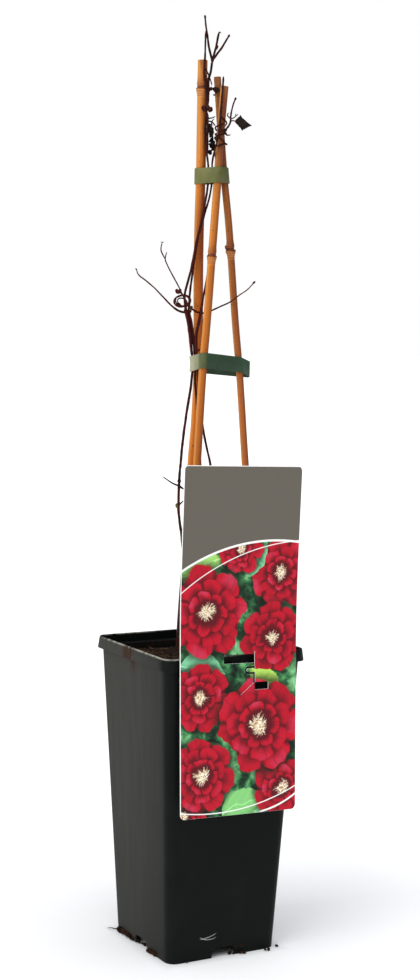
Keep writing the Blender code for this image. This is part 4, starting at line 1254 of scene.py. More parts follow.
@dataclass
class Cane:
    """A bamboo cane."""

    name: str
    radius: float
    top: float
    nodes: Span
    rows: tuple[Row, ...]
    wood: Wood
    swell: float = 0.62           # how far the nodes stand out, as twice a share of the radius
    stub: float = 0.0             # radius of the broken side shoot at the upper node, if any
    foot: float = 9.5 * MM
    bevel: float = 0.06           # of the sawn end, and then the wall to the pith hole, as shares
    wall: float = 0.62
    pith_depth: float = 3.0 * MM
    sides: int = 28
    plain_step: float = 4.0 * MM
    node_step: float = 0.4 * MM

    def strand(self) -> Strand:
        """The cane as something that bands go round."""
        return Strand(tuple(smooth_path(places(self.rows), STRAND_STEP)), self.radius)

    def build(self, cut: Finish) -> Piece:
        """Sweep the culm, close its ends and dress it.

        Args:
            cut: The finish of its sawn ends.

        Returns:
            The cane.
        """
        source = polylines(f"{self.name}_culm", [self._axis()])
        skin = BambooSkin(f"bamboo_{self.wood.name.lower()}", self.wood, self.nodes, self.radius)
        culm = shared(CulmTree).run(source, {"Radius": self.radius, "Lower Node": self.nodes[1],
            "Upper Node": self.nodes[0], "Swell": self.swell, "Sides": self.sides, "Flutes": 2.0,
            "Flute Depth": 0.012, "Material": skin.material()})
        self._open_end(culm, cut)
        return finish_piece(culm, f"bamboo_{self.wood.name.lower()}", self.name)

    def _axis(self) -> tuple[list[Vector], list[float]]:
        """The culm's axis in the model's frame, with places close together at the nodes.

        Returns:
            The places and the radius at each.
        """
        path = smooth_path(places(self.rows), 2 * MM)
        heights = {self.foot, self.top}
        steps = round((self.top - self.foot) / self.plain_step)
        heights.update(blend(self.foot, self.top, step / steps) for step in range(steps + 1))
        for node in self.nodes:
            reach = round(CulmTree.REACH / self.node_step)
            heights.update(node + step * self.node_step for step in range(-reach, reach + 1))
        axis = [PLANT @ at_height(path, height) for height in sorted(heights)]
        return axis, [self.radius] * len(axis)

    def _open_end(self, culm: Piece, cut: Finish) -> None:
        """Sink the pith hole into the sawn top, give the cuts their finish and grow the stub.

        Args:
            culm: The swept culm.
            cut: The finish of the sawn ends.
        """
        culm.data.materials.append(cut)
        bm = bmesh.new()
        bm.from_mesh(culm.data)
        caps = [face for face in bm.faces if len(face.verts) > 4]
        for cap in caps:
            cap.material_index = 1
            cap.smooth = False
        head = max(caps, key=lambda face: face.calc_center_median().z)
        for inset, rise in ((self.bevel * self.radius, 0.05 * self.radius), (self.wall * self.radius, 0.0),
                (0.02 * self.radius, -self.pith_depth)):
            bmesh.ops.inset_individual(bm, faces=[head], thickness=inset, depth=rise)
        if self.stub:
            turn = Matrix.Rotation(math.radians(-32), 4, "Y") @ Matrix.Diagonal((1, 1, 1.7, 1))
            for rise, out, size in ((1 * MM, (-1.05, -0.35, 0), 1), (-2.4 * MM, (0.05, -0.8, 0), 1.25)):
                spot = self.strand().at(self.nodes[0] + rise) + Vector(out) * self.radius
                bmesh.ops.create_uvsphere(bm, u_segments=14, v_segments=9, radius=self.stub * size,
                    matrix=Matrix.Translation(PLANT @ spot) @ turn)
        bm.to_mesh(culm.data)
        bm.free()


@dataclass
class Band:
    """A closed band of flat plastic strip round canes and stems, lapped at the back."""

    name: str
    finish: StripPlastic
    slot: str
    level: float
    slopes: tuple[float, ...]
    strands: Sequence[Strand]
    width: float = 10.6 * MM
    thickness: float = 0.55 * MM
    clearance: float = 0.4 * MM
    edge: float = 0.18 * MM
    angles: int = 144
    waver: float = 0.25 * MM
    lap: Span = (math.radians(66), math.radians(112))

    def build(self) -> Piece:
        """Loft the strip round its strands.

        Returns:
            The band.
        """
        half, edge = self.width / 2, self.edge
        rings = []
        for i in range(self.angles):
            angle = 2 * math.pi * i / self.angles
            lapped = self.thickness if self.lap[0] < angle < self.lap[1] else 0
            inner, outer = self.clearance, self.clearance + self.thickness + lapped
            wave = self.waver * noise.noise(Vector((3 * math.cos(angle), 3 * math.sin(angle), self.level)))
            profile = [(-half + edge, inner), (0, inner), (half - edge, inner), (half, inner + edge),
                (half, outer - edge), (half - edge, outer), (0, outer), (-half + edge, outer),
                (-half, outer - edge), (-half, inner + edge)]
            rings.append([PLANT @ taut_point(self.strands, angle, self.level + up + wave, self.slopes,
                out) for up, out in profile])
        band = solid(f"{self.name}_strip", loft(rings, closed=True), self.finish.material(), 50)
        return finish_piece(band, self.slot, self.name)


@dataclass
class Pot:
    """A deep square pot: skirt foot, lifted floor, tapered walls and a rim band that stands out."""

    height: float = 210.0 * MM
    foot_half: float = 41.5 * MM
    shoulder_half: float = 51.8 * MM
    shoulder: float = 201.8 * MM
    band_half: float = 54.5 * MM
    rim_half: float = 53.7 * MM
    wall: float = 1.4 * MM
    foot_corner: float = 7.4 * MM
    rim_corner: float = 7.8 * MM
    floor_under: float = 7.6 * MM
    floor_top: float = 9.2 * MM
    notch: tuple[float, float, float] = (18.0 * MM, 6.5 * MM, 2.5 * MM)
    drain_radius: float = 3.5 * MM
    drain_pitch: float = 20.0 * MM
    corner_steps: int = 10
    side_steps: int = 8

    def __post_init__(self) -> None:
        """Find the pot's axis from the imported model."""
        low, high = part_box("pot")
        self.axis = Vector(((low[0] + high[0]) / 2, (low[1] + high[1]) / 2, 0))

    def half_at(self, height: float) -> float:
        """Half the body's outer width at a height."""
        return blend(self.foot_half, self.shoulder_half, height / self.shoulder)

    def ring(self, half: float, height: float, inset: float = 0.0) -> list[Vector]:
        """A level square with round corners and points along its sides, on the pot's axis.

        Args:
            half: Half its width.
            height: Its height.
            inset: How much tighter its corners are than the wall's outside.

        Returns:
            Its points.
        """
        corner = blend(self.foot_corner, self.rim_corner, height / self.height) - inset
        straight = half - corner
        points = []
        for quarter in range(4):
            turn = Matrix.Rotation(math.radians(90) * quarter, 3, "Z")
            for step in range(self.corner_steps + 1):
                angle = math.radians(90) * step / self.corner_steps
                points.append(turn @ Vector((straight + corner * math.cos(angle),
                    straight + corner * math.sin(angle), height)))
            for step in range(1, self.side_steps):
                points.append(turn @ Vector((blend(straight, -straight, step / self.side_steps), half,
                    height)))
        return [point + self.axis for point in points]

    def wall_ring(self, height: float, inset: float) -> list[Vector]:
        """A level ring that follows the wall, set in from its outer face."""
        return self.ring(self.half_at(height) - inset, height, inset)

    def build(self) -> Piece:
        """Loft the shell with rounded edges and cut its foot notches and drain holes.

        Returns:
            The pot.
        """
        wall, soft, top = self.wall, 0.3 * MM, self.height
        shelf = self.shoulder + wall
        rings = [self.wall_ring(self.floor_under, wall), self.wall_ring(soft, wall),
            self.wall_ring(0, wall - soft), self.wall_ring(0, soft), self.wall_ring(soft, 0),]
        rings += [self.wall_ring(blend(soft, self.shoulder, step / 12), 0) for step in range(1, 12)]
        rings += [self.wall_ring(self.shoulder - 1.2 * MM, 0),
            self.ring(self.shoulder_half + 0.1 * MM, self.shoulder - 0.4 * MM),
            self.ring(self.shoulder_half + 0.5 * MM, self.shoulder - 0.05 * MM),
            self.ring(self.band_half - 0.5 * MM, self.shoulder),
            self.ring(self.band_half - 0.12 * MM, self.shoulder + 0.12 * MM),
            self.ring(self.band_half, self.shoulder + 0.5 * MM),
            self.ring(self.rim_half + 0.05 * MM, top - 0.7 * MM),
            self.ring(self.rim_half - 0.1 * MM, top - 0.2 * MM),
            self.ring(self.rim_half - 0.4 * MM, top, 0.4 * MM),
            self.ring(self.rim_half - wall + 0.3 * MM, top, wall - 0.3 * MM),
            self.ring(self.rim_half - wall, top - 0.25 * MM, wall),
            self.ring(self.band_half - wall, shelf + 0.5 * MM, wall),
            self.ring(self.band_half - wall - 0.4 * MM, shelf, wall),
            self.wall_ring(shelf, wall - 0.4 * MM), self.wall_ring(shelf - 0.5 * MM, wall),]
        rings += [self.wall_ring(blend(self.floor_top, shelf, step / 4), wall) for step in (3, 2, 1, 0)]
        pot = solid("pot_body", loft(rings), PotPlastic().material(), 35)
        carve(pot, self._cutters())
        return finish_piece(pot, "black_plastic", "pot")

    def _cutters(self) -> list[bmesh.types.BMesh]:
        """Bars for the notches in the foot and rods for the drain holes.

        Returns:
            The closed shapes.
        """
        width, height, chamfer = self.notch
        reach, half = self.shoulder_half, width / 2
        outline = ((-half, -height), (half, -height), (half, height - chamfer),
            (half - chamfer * 0.4, height - chamfer * 0.4), (half - chamfer, height),
            (chamfer - half, height), (chamfer * 0.4 - half, height - chamfer * 0.4),
            (-half, height - chamfer))
        shapes = [loft([[Vector((x, y, z)) for y, z in outline] for x in (-reach, reach)]),
            loft([[Vector((x, y, z)) for x, z in outline] for y in (-reach, reach)]),]
        for row in (-1, 0, 1):
            for column in (-1, 0, 1):
                spot = Vector((column, row, 0)) * self.drain_pitch
                spot.z = (self.floor_under + self.floor_top) / 2
                bm = bmesh.new()
                bmesh.ops.create_cone(bm, cap_ends=True, segments=24, radius1=self.drain_radius,
                    radius2=self.drain_radius, depth=3 * self.wall, matrix=Matrix.Translation(spot))
                shapes.append(bm)
        for bm in shapes:
            bmesh.ops.translate(bm, verts=bm.verts, vec=self.axis)
        return shapes


@dataclass
class Soil:
    """The compost that fills the pot, with crumbs and fibres strewn on it."""

    pot: Pot
    level: float = 198.5 * MM
    gap: float = 0.3 * MM
    bump: float = 1.6 * MM
    bump_size: float = 11.0 * MM
    top_rings: int = 44
    crumb_size: float = 1.9 * MM
    crumb_rise: float = 0.45 * MM
    crumb_lift: float = 0.86      # of a spilled crumb's middle, as a share of its size
    spill: tuple[tuple[Row, Row, float, int], ...] = (     # from, to, size and count
        ((-42, 35, 0), (-41.6, 12, 0), 3.3, 26), ((-41.9, 33, 1.6), (-41.9, 15, 1.2), 2.4, 12),
        ((-40, 9, 0), (-38, -7, 0), 2, 12), ((-42.2, -12, 0), (-41.2, -25, 0), 2.9, 18),
        ((7, -40.6, 4.2), (16, -42.3, 4.6), 1.5, 12), ((4, -40.5, 0), (14, -41, 0), 1.7, 8),
        ((12.8, -42.6, 0), (15.6, -43.8, 0), 1.7, 4), ((31.5, -45.2, 0), (34.4, -46.3, 0), 1.8, 5),
        ((41.5, -42.2, 0), (43.6, -41.6, 0), 1.7, 4), ((-28.6, -43.4, 0), (-28.2, -43.5, 0), 1.3, 1))
    root: tuple[Row, ...] = (
        (-40.8, 36.4, 1.4), (-43.4, 38.3, 1.1), (-45.3, 39.5, 1.6), (-47.8, 41, 1.3))

    def surface(self, x: float, y: float) -> float:
        """The lumpy surface's height at a place off the pot's axis.

        Args:
            x: Across.
            y: Away.

        Returns:
            The height.
        """
        coarse = noise.noise(Vector((x, y, 0)) / self.bump_size)
        fine = noise.noise(Vector((x, y, self.bump_size)) / (0.4 * self.bump_size))
        crumb = noise.noise(Vector((x, y, 0.0)) / self.crumb_size)
        return self.level + self.bump * coarse + 0.5 * self.bump * fine + self.crumb_rise * crumb

    def build(self) -> list[Piece]:
        """Loft the bed, strew it with bits and leave a spill round the pot's foot.

        Returns:
            The pieces.
        """
        inset, bottom = self.pot.wall + self.gap, self.pot.floor_top + self.gap
        rings = [self.pot.wall_ring(blend(bottom, self.level, step / 3), inset) for step in range(3)]
        edge = self.pot.wall_ring(self.level - self.bump, inset)
        for step in range(self.top_rings):
            share = 1 - step / self.top_rings
            flat = [(point - self.pot.axis) * share for point in edge]
            rings.append([Vector((p.x, p.y, self.surface(p.x, p.y))) + self.pot.axis for p in flat])
        peat = Compost("potting_soil", (0.005, 0.003, 0.002), (0.04, 0.021, 0.011), 900).material()
        bed = finish_piece(solid("soil_bed", loft(rings), peat, 60), "potting_soil", "soil")
        crumbs = self._strew(bed, "soil_crumbs", self._crumb(), peat, (90000.0, 0.35, 1.25, 3.1, 11))
        straw = Compost("soil_fibre", (0.07, 0.035, 0.018), (0.3, 0.19, 0.1), 1600).material()
        fibres = self._strew(bed, "soil_fibres", self._fibre(), straw, (19000.0, 0.45, 1.2, 0.25, 5))
        path = [place + self.pot.axis for place in smooth_path(places(self.root), 0.8 * MM)]
        girths = [blend(0.45, 0.22, i / (len(path) - 1)) * MM for i in range(len(path))]
        root = shared(StemTree).run(polylines("spilled_root", [(path, girths)]),
            {"Sides": 8, "Flutes": 3.0, "Flute Depth": 0.1, "Material": Bark("root_skin").material()})
        return [bed, crumbs, fibres, self._spill(self._crumb()), finish_piece(root, "vine_bark")]

    def _strew(self, bed: Piece, name: str, piece: Piece, material: Finish,
            rule: tuple[float, float, float, float, int]) -> Piece:
        """Strew copies of a small piece over the bed, then drop the piece itself.

        Args:
            bed: The soil's own surface.
            name: The new piece's name.
            piece: The small piece.
            material: Its finish.
            rule: Density, smallest and largest size, lean and seed.

        Returns:
            The strewn pieces.
        """
        source = mesh_object(name, bed.data.copy())
        density, smallest, largest, lean, seed = rule
        made = shared(ScatterTree).run(source, {"Piece": piece, "Density": density, "Smallest": smallest,
            "Largest": largest, "Lean": lean, "Seed": seed, "Material": material})
        bpy.data.objects.remove(piece, do_unlink=True)
        return finish_piece(made, "potting_soil")

    def _spill(self, piece: Piece) -> Piece:
        """Leave crumbs on the floor against the pot's foot.

        Args:
            piece: The crumb, which is dropped afterwards.

        Returns:
            The crumbs.
        """
        dice = random.Random(7)
        rows = []
        for start, end, thick, count in self.spill:
            for _ in range(count):
                size = thick * dice.uniform(0.45, 1)
                place = Vector(start).lerp(Vector(end), dice.random()) * MM
                place += Vector((dice.uniform(-0.8, 0.8), dice.uniform(-0.8, 0.8), 0)) * MM
                place.z += self.crumb_lift * size * MM
                lean = Vector([dice.uniform(-1, 1) for _ in range(3)])
                rows.append((place + self.pot.axis, lean, Vector((1, 0.8, 1.1)) * size))
        crumbs = shared(BudTree).run(set_points("spilled_crumbs", rows),
            {"Piece": piece, "Material": Compost("spilled_soil", (0.006, 0.0028, 0.0018),
            (0.04, 0.017, 0.008), 1100).material()})
        bpy.data.objects.remove(piece, do_unlink=True)
        return finish_piece(crumbs, "potting_soil")

    def _crumb(self) -> Piece:
        """A rough crumb about 2 mm across.

        Returns:
            The crumb.
        """
        bm = bmesh.new()
        bmesh.ops.create_icosphere(bm, subdivisions=1, radius=0.8 * MM)
        for vert in bm.verts:
            vert.co *= 1 + 0.35 * noise.noise(vert.co / (0.5 * MM))
            vert.co.z *= 0.75
        return bare("crumb", bm)

    def _fibre(self) -> Piece:
        """A bent peat fibre about 7 mm long.

        Returns:
            The fibre.
        """
        path = places((
            (-3.5, 0.2, 0.3), (-1.6, -0.4, 0.55), (0.4, 0.3, 0.5), (2, 0.1, 0.8), (3.6, 0.9, 0.4)))
        rings = []
        for i, place in enumerate(path):
            size = (0.05, 0.15, 0.17, 0.14, 0.05)[i] * MM
            rings.append([place + Vector((0, size * math.cos(turn), size * math.sin(turn))) for turn in (0,
                2.09, 4.19)])
        bm = loft(rings)
        bmesh.ops.recalc_face_normals(bm, faces=bm.faces)
        return bare("fibre", bm)


@dataclass
class Label:
    """A thin bent hang card with two windows, a thin cut and a tongue that hooks over the rim."""

    width: float = 87.0 * MM
    height: float = 230.6 * MM
    thickness: float = 0.6 * MM
    corner: float = 3.4 * MM
    corner_steps: int = 7
    levels: int = 60
    centre: Row = (-1.1, -54.0, 220.7)
    turn: float = math.radians(-1.85)
    twist: float = math.radians(-10.4)      # turn gained for each metre up the card
    roll: float = math.radians(1.26)
    bend: float = 24.0 * MM                 # below this height on the card it leans out
    softness: float = 12.0 * MM
    lean: float = 0.075
    windows: tuple[tuple[float, float, float, float], ...] = (
        (-11.35, -15.5, 11.4, -9.6), (11.9, -33.4, 22.25, -28.4))
    cut_width: float = 0.5 * MM
    gap_width: float = 1.3 * MM             # of the cut between the windows
    cut_x: float = 11.6
    cut_heights: Span = (-7.9, -28.1)
    notch_heights: Span = (-22.4, -18.4)
    notch_reach: float = 4.35
    cut_end: Span = (1.4, -36.2)
    tongue_width: float = 14.0 * MM
    tongue_rows: tuple[Row, ...] = (        # back from the card and up
        (0, 0, -9.2), (0, 2, -9.3), (0, 4, -9.6), (0, 5.2, -9.85), (0, 6.1, -9.85),
        (0, 7, -10.2), (0, 7.4, -11.2), (0, 7.4, -13.2), (0, 7.3, -15.4))

    def hung(self, flat: Vector) -> Vector:
        """Where a place of the flat card hangs.

        Args:
            flat: Across the card's front, back from it, and up from its middle.

        Returns:
            The place in the model's frame.
        """
        below = self.softness * math.log1p(math.exp((self.bend - flat.z) / self.softness))
        back = flat.y - self.lean * below
        turn = self.turn + self.twist * flat.z
        across = flat.x * math.cos(self.roll) + flat.z * math.sin(self.roll)
        up = flat.z * math.cos(self.roll) - flat.x * math.sin(self.roll)
        return PLANT_AXIS + Vector(self.centre) * MM + Vector((across * math.cos(turn) - back
            * math.sin(turn), across * math.sin(turn) + back * math.cos(turn), up))

    def build(self) -> list[Piece]:
        """Build the card and its tongue and dress both.

        Returns:
            The pieces.
        """
        sheet = CardBack().material()
        card = solid("label_card", self._card(), sheet, 30)
        carve(card, self._cutters())
        card.data.materials.append(CardPrint().material())
        mesh = card.data
        for face in mesh.polygons:
            face.material_index = int(face.normal.y < -0.7)
        spots = mesh.attributes.new("card", "FLOAT_VECTOR", "POINT")
        for vert, spot in zip(mesh.vertices, spots.data):
            spot.vector = Vector((vert.co.x, vert.co.z, 0)) / MM
        tongue = solid("label_tongue", self._tongue(), sheet, 30)
        for piece in (card, tongue):
            for vert in piece.data.vertices:
                vert.co = self.hung(vert.co)
            finish_piece(piece, "card_plastic", "label")
        return [card, tongue]

    def _card(self) -> bmesh.types.BMesh:
        """The whole card lying flat, from its top to its foot, with its edges a little rounded.

        Returns:
            The card.
        """
        top, skin, soft = self.height / 2, self.thickness / 2, 0.12 * MM
        middle, half = top - self.corner, self.width / 2 - self.corner
        rows = [(top, half, skin - soft)]
        for step in range(1, self.corner_steps + 1):
            angle = math.radians(90) * step / self.corner_steps
            rows.append((middle + self.corner * math.cos(angle), half + self.corner * math.sin(angle),
                skin))
        rows += [(-z, wide, thick) for z, wide, thick in reversed(rows)]
        levels = [(blend(middle, -middle, step / self.levels), self.width / 2, skin) for step in range(1,
            self.levels)]
        rows[self.corner_steps + 1:self.corner_steps + 1] = levels
        rings = []
        for z, wide, thick in rows:
            profile = ((soft - wide, -thick), (wide - soft, -thick), (wide, soft - thick),
                (wide, thick - soft), (wide - soft, thick), (soft - wide, thick), (-wide, thick - soft),
                (-wide, soft - thick))
            rings.append([Vector((x, y, z)) for x, y in profile])
        return loft(rings)

    def _cutters(self) -> list[bmesh.types.BMesh]:
        """Prisms for the windows and for each run of the thin cut.

        Returns:
            The closed shapes.
        """
        outlines = [[Vector(place) * MM for place in ((x0, z0), (x1, z0), (x1, z1), (x0, z1))] for x0, z0,
            x1, z1 in self.windows]
        path = [Vector(place) * MM for place in self._cut_path()]
        last = len(path) - 2
        for i, (start, end) in enumerate(zip(path, path[1:])):
            width = self.gap_width if 0 < i < last else self.cut_width
            along = (end - start).normalized() * width / 2
            side = Vector((-along.y, along.x))
            start, end = start - along, end + along
            outlines.append([start - side, end - side, end + side, start + side])
        depth = 2 * self.thickness
        return [loft([[Vector((p.x, y, p.y)) for p in outline] for y in (-depth,
            depth)]) for outline in outlines]

    def _cut_path(self) -> list[Span]:
        """The thin cut: down, round a notch, down again and off to the lower left.

        Returns:
            Its places on the card, in millimetres.
        """
        low, high = self.notch_heights
        middle, half = (low + high) / 2, (high - low) / 2
        path = [(self.cut_x, self.cut_heights[0]), (self.cut_x, high)]
        for step in range(7):
            angle = math.radians(90 + 30 * step)
            path.append((self.cut_x - self.notch_reach + half * math.cos(angle),
                middle + half * math.sin(angle)))
        return path + [(self.cut_x, low), (self.cut_x, self.cut_heights[1]), self.cut_end]

    def _tongue(self) -> bmesh.types.BMesh:
        """The tongue, lying flat behind the card: back over the rim and down inside the pot.

        Returns:
            The tongue.
        """
        path = smooth_path(places(self.tongue_rows), 0.5 * MM)
        rings = []
        for i, place in enumerate(path):
            along = (path[min(i + 1, len(path) - 1)] - path[max(i - 1, 0)]).normalized()
            side = Vector((0, -along.z, along.y)) * self.thickness / 2
            rings.append([place + Vector((x * self.tongue_width, 0, 0)) + up * side for x,
                up in ((-0.5, -1), (0.5, -1), (0.5, 1), (-0.5, 1))])
        return loft(rings)


@dataclass(frozen=True)
class Stalk:
    """A leaf stalk or twig through places, with its radii at both ends, in millimetres."""

    rows: tuple[Row, ...]
    base: float
    tip: float = 0.4

    def chain(self, canes: Mapping[str, Strand]) -> Chain:
        """Its path on the plant's axes and its two radii."""
        return smooth_path(places(self.rows), 1 * MM), (self.base * MM, self.tip * MM)


@dataclass(frozen=True)
class Curl:
    """A curled tendril: a flat coil, seen from the front, whose radii shrink as it turns."""

    centre: Row
    radii: Span
    turns: Span
    depth: Span
    tilt: float                   # degrees
    thick: float
    flatness: float = 0.72

    def chain(self, canes: Mapping[str, Strand]) -> Chain:
        """Work out its path.

        Args:
            canes: The canes by name; not used.

        Returns:
            Its path on the plant's axes and its two radii.
        """
        steps = round(44 * abs(self.turns[1] - self.turns[0]))
        turn = Matrix.Rotation(-math.radians(self.tilt), 3, "Y")
        path = []
        for i in range(steps + 1):
            share = i / steps
            angle, reach = 2 * math.pi * blend(*self.turns, share), blend(*self.radii, share)
            flat = Vector((reach * math.cos(angle), 0, self.flatness * reach * math.sin(angle)))
            away = Vector((0, blend(*self.depth, share), 0))
            path.append((Vector(self.centre) + turn @ flat + away) * MM)
        return path, (self.thick * MM, 0.85 * self.thick * MM)


@dataclass(frozen=True)
class Wrap:
    """A leaf stalk wound round one cane or two, just clear of them."""

    names: tuple[str, ...]
    heights: Span
    turns: Span
    thick: float
    slack: float = 1.15
    gap: float = 0.3 * MM

    def chain(self, canes: Mapping[str, Strand]) -> Chain:
        """Work out its path.

        Args:
            canes: The canes by name.

        Returns:
            Its path on the plant's axes and its two radii.
        """
        steps = round(60 * abs(self.turns[1] - self.turns[0]))
        path = [taut_point([canes[name] for name in self.names],
            2 * math.pi * blend(*self.turns, i / steps), blend(*self.heights, i / steps) * MM, (0, 0),
            self.gap + self.slack * self.thick * MM) for i in range(steps + 1)]
        return path, (self.thick * MM, 0.85 * self.thick * MM)


@dataclass(frozen=True)
class Bud:
    """A bud or knot: where it sits, its half width and half length, and where it points."""

    place: Row
    size: Span
    lean: Row = (0.0, 0.0, 1.0)


@dataclass(frozen=True)
class Blade:
    """A shrivelled leaf: a thin folded sheet along its midrib, with half-widths in millimetres."""

    rows: tuple[Row, ...]
    widths: tuple[float, ...]
    across: Row
    fold: float
    thickness: float = 0.3 * MM
    ribs: int = 12
    ruffle: Span = (1.1 * MM, 0.16)       # size and share of the width
    wrinkle: Span = (1.3 * MM, 0.30 * MM)

    def build(self, name: str, material: Finish) -> Piece:
        """Loft the wrinkled sheet.

        Args:
            name: The piece's name.
            material: Its finish.

        Returns:
            The leaf.
        """
        spine = smooth_path(places(self.rows), 0.35 * MM)
        shares = smooth_path([Vector((width, 0, 0)) for width in self.widths], 1000)
        side = (PLANT.to_3x3() @ Vector(self.across)).normalized()
        rings = []
        for i, spot in enumerate(spine):
            share = i / (len(spine) - 1) * (len(shares) - 1)
            near = min(int(share), len(shares) - 2)
            width = blend(shares[near].x, shares[near + 1].x, share - near) * MM
            width *= 1 + self.ruffle[1] * noise.noise(spot / self.ruffle[0])
            before, after = spine[max(i - 1, 0)], spine[min(i + 1, len(spine) - 1)]
            normal = (PLANT.to_3x3() @ (after - before)).cross(side).normalized()
            row = []
            for step in range(-self.ribs // 2, self.ribs // 2 + 1):
                out = 2 * step / self.ribs
                rise = self.fold * width * (abs(out) - 0.12 * math.cos(3 * math.pi * out))
                flat = PLANT @ spot + side * out * width
                wave = self.wrinkle[1] * noise.noise(flat / self.wrinkle[0])
                rise += wave * min(1, width / (2 * MM) + 0.3)
                row.append(flat + normal * rise)
            skin = normal * self.thickness / 2
            rings.append([p + skin for p in row] + [p - skin for p in reversed(row)])
        return finish_piece(solid(name, loft(rings), material, 60), "vine_bark")


Shoot = Stalk | Curl | Wrap


@dataclass
class Vine:
    """A main stem with its twigs, stalks, buds and dried leaves."""

    name: str
    radius: float
    rows: tuple[Row, ...]
    shoots: tuple[Shoot, ...]
    buds: tuple[Bud, ...]
    blades: tuple[Blade, ...] = ()
    fresh: tuple[Bud, ...] = ()   # buds that are green or pale
    tip: float = 0.62
    stout: float = 0.4           # how much thicker the old wood between the bands is
    old_wood: float = 426.0 * MM
    old_reach: float = 19.0 * MM
    sway: Span = (7.0 * MM, 0.22)         # size and share of the radius
    rough: tuple[Span, ...] = ((2.4 * MM, 0.16), (9.0 * MM, 0.10))

    def build(self, canes: Mapping[str, Strand], finishes: Mapping[str, Finish]) -> list[Piece]:
        """Sweep the stems, set the buds and lay the dried leaves.

        Args:
            canes: The canes by name, for stalks that wind round them.
            finishes: The materials bark, leaf and bud.

        Returns:
            The pieces.
        """
        chains = [Stalk(self.rows, self.radius, self.tip).chain(canes)]
        chains += [shoot.chain(canes) for shoot in self.shoots]
        source = polylines(f"{self.name}_bark", [self._grown(*chain) for chain in chains])
        pieces = [finish_piece(shared(StemTree).run(source,
            {"Sides": 12, "Flutes": 6.0, "Flute Depth": 0.10, "Material": finishes["bark"]}), "vine_bark",
            self.name)]
        scales = self._bud()
        for label, rows, finish in (("buds", self.buds, "bark"), ("fresh_buds", self.fresh, "bud")):
            if rows:
                points = set_points(f"{self.name}_{label}",
                    [(PLANT @ (Vector(bud.place) * MM), PLANT.to_3x3() @ Vector(bud.lean),
                    Vector((bud.size[0], bud.size[0], bud.size[1])) * MM) for bud in rows])
                pieces.append(finish_piece(shared(BudTree).run(points,
                    {"Piece": scales, "Material": finishes[finish]}), "vine_bark"))
        bpy.data.objects.remove(scales, do_unlink=True)
        pieces += [blade.build(f"{self.name}_dry_leaf_{i}", finishes["leaf"]) for i,
            blade in enumerate(self.blades)]
        return pieces

    def _grown(self, path: Sequence[Vector], radii: Span) -> tuple[list[Vector], list[float]]:
        """Place a path in the model's frame, a little crooked, with its radius at each point.

        Args:
            path: The path on the plant's axes.
            radii: Its radius at the start and at the end.

        Returns:
            The points and their radii.
        """
        points, girths = [], []
        last = len(path) - 1
        for i, spot in enumerate(path):
            radius = blend(*radii, i / last)
            sway = noise.noise_vector(spot / self.sway[0]) * self.sway[1] * radius
            points.append(PLANT @ (spot + sway))
            rough = 1 + sum(share * noise.noise(spot / size) for size, share in self.rough)
            round_end = min(1, 0.45 + 0.35 * min(i, last - i))
            near = max(0, 1 - abs(spot.z - self.old_wood) / self.old_reach)
            girths.append(radius * rough * round_end * (1 + self.stout * near * (2 - near)))
        return points, girths

    def _bud(self) -> Piece:
        """A pointed bud of overlapping scales, one unit in radius and half its length.

        Returns:
            The bud.
        """
        bm = bmesh.new()
        bmesh.ops.create_uvsphere(bm, u_segments=16, v_segments=12, radius=1)
        for vert in bm.verts:
            angle = math.atan2(vert.co.y, vert.co.x)
            ridge = 1 + 0.09 * math.cos(4 * angle + 2.2 * vert.co.z)
            ridge *= 1 + 0.14 * noise.noise(vert.co * 2.3)
            taper = 1 - 0.3 * max(0, vert.co.z) ** 2
            vert.co = Vector((vert.co.x * ridge * taper, vert.co.y * ridge * taper, vert.co.z))
        return bare("bud", bm)


@dataclass
class Trellis:
    """Three canes drawn together by two bands, with three stems that climb through them."""

    golden: Cane
    amber: Cane
    russet: Cane
    vines: tuple[Vine, ...]
    slack: tuple[Row, float] = ((29.3, 9.0, 0.0), 0.8)

    def build(self) -> None:
        """Build the canes, the bands and the climber."""
        cut = BambooCut().material()
        strands = {}
        for cane in (self.golden, self.amber, self.russet):
            strands[cane.name] = cane.strand()
            cane.build(cut)
        bound = list(strands.values())
        bound += [Strand(tuple(smooth_path(places(vine.rows), STRAND_STEP)),
            vine.radius * MM) for vine in self.vines]
        loose = Strand((Vector(self.slack[0]) * MM,), self.slack[1] * MM)
        # The strips' tones: lighter on the left as painted sheen, darker to the right as painted shade.
        Band("tie_upper", StripPlastic("olive_strip",
            ((-8, (0.15, 0.15, 0.046)), (4, (0.115, 0.12, 0.036)), (14, (0.08, 0.082, 0.024)))),
            "olive_plastic", 528.5 * MM, (0.04, 0), bound).build()
        Band("tie_lower", StripPlastic("green_strip",
            ((-9.5, (0.36, 0.355, 0.235)), (-5, (0.24, 0.24, 0.14)), (-3.4, (0.09, 0.105, 0.04)),
            (0.6, (0.07, 0.088, 0.034)), (1.8, (0.021, 0.048, 0.024)), (16, (0.022, 0.048, 0.024)),
            (27, (0.026, 0.06, 0.03)))), "green_plastic", 401.6 * MM, (0, -0.175, 0.07, -7.5),
            [*bound, loose]).build()
        finishes = {"bark": Bark("vine_bark").material(), "leaf": DryLeaf().material(),
            "bud": Bark("bud_skin", (0.06, 0.045, 0.014), (0.16, 0.15, 0.05),
            (0.42, 0.36, 0.18)).material()}
        for vine in self.vines:
            vine.build(strands, finishes)


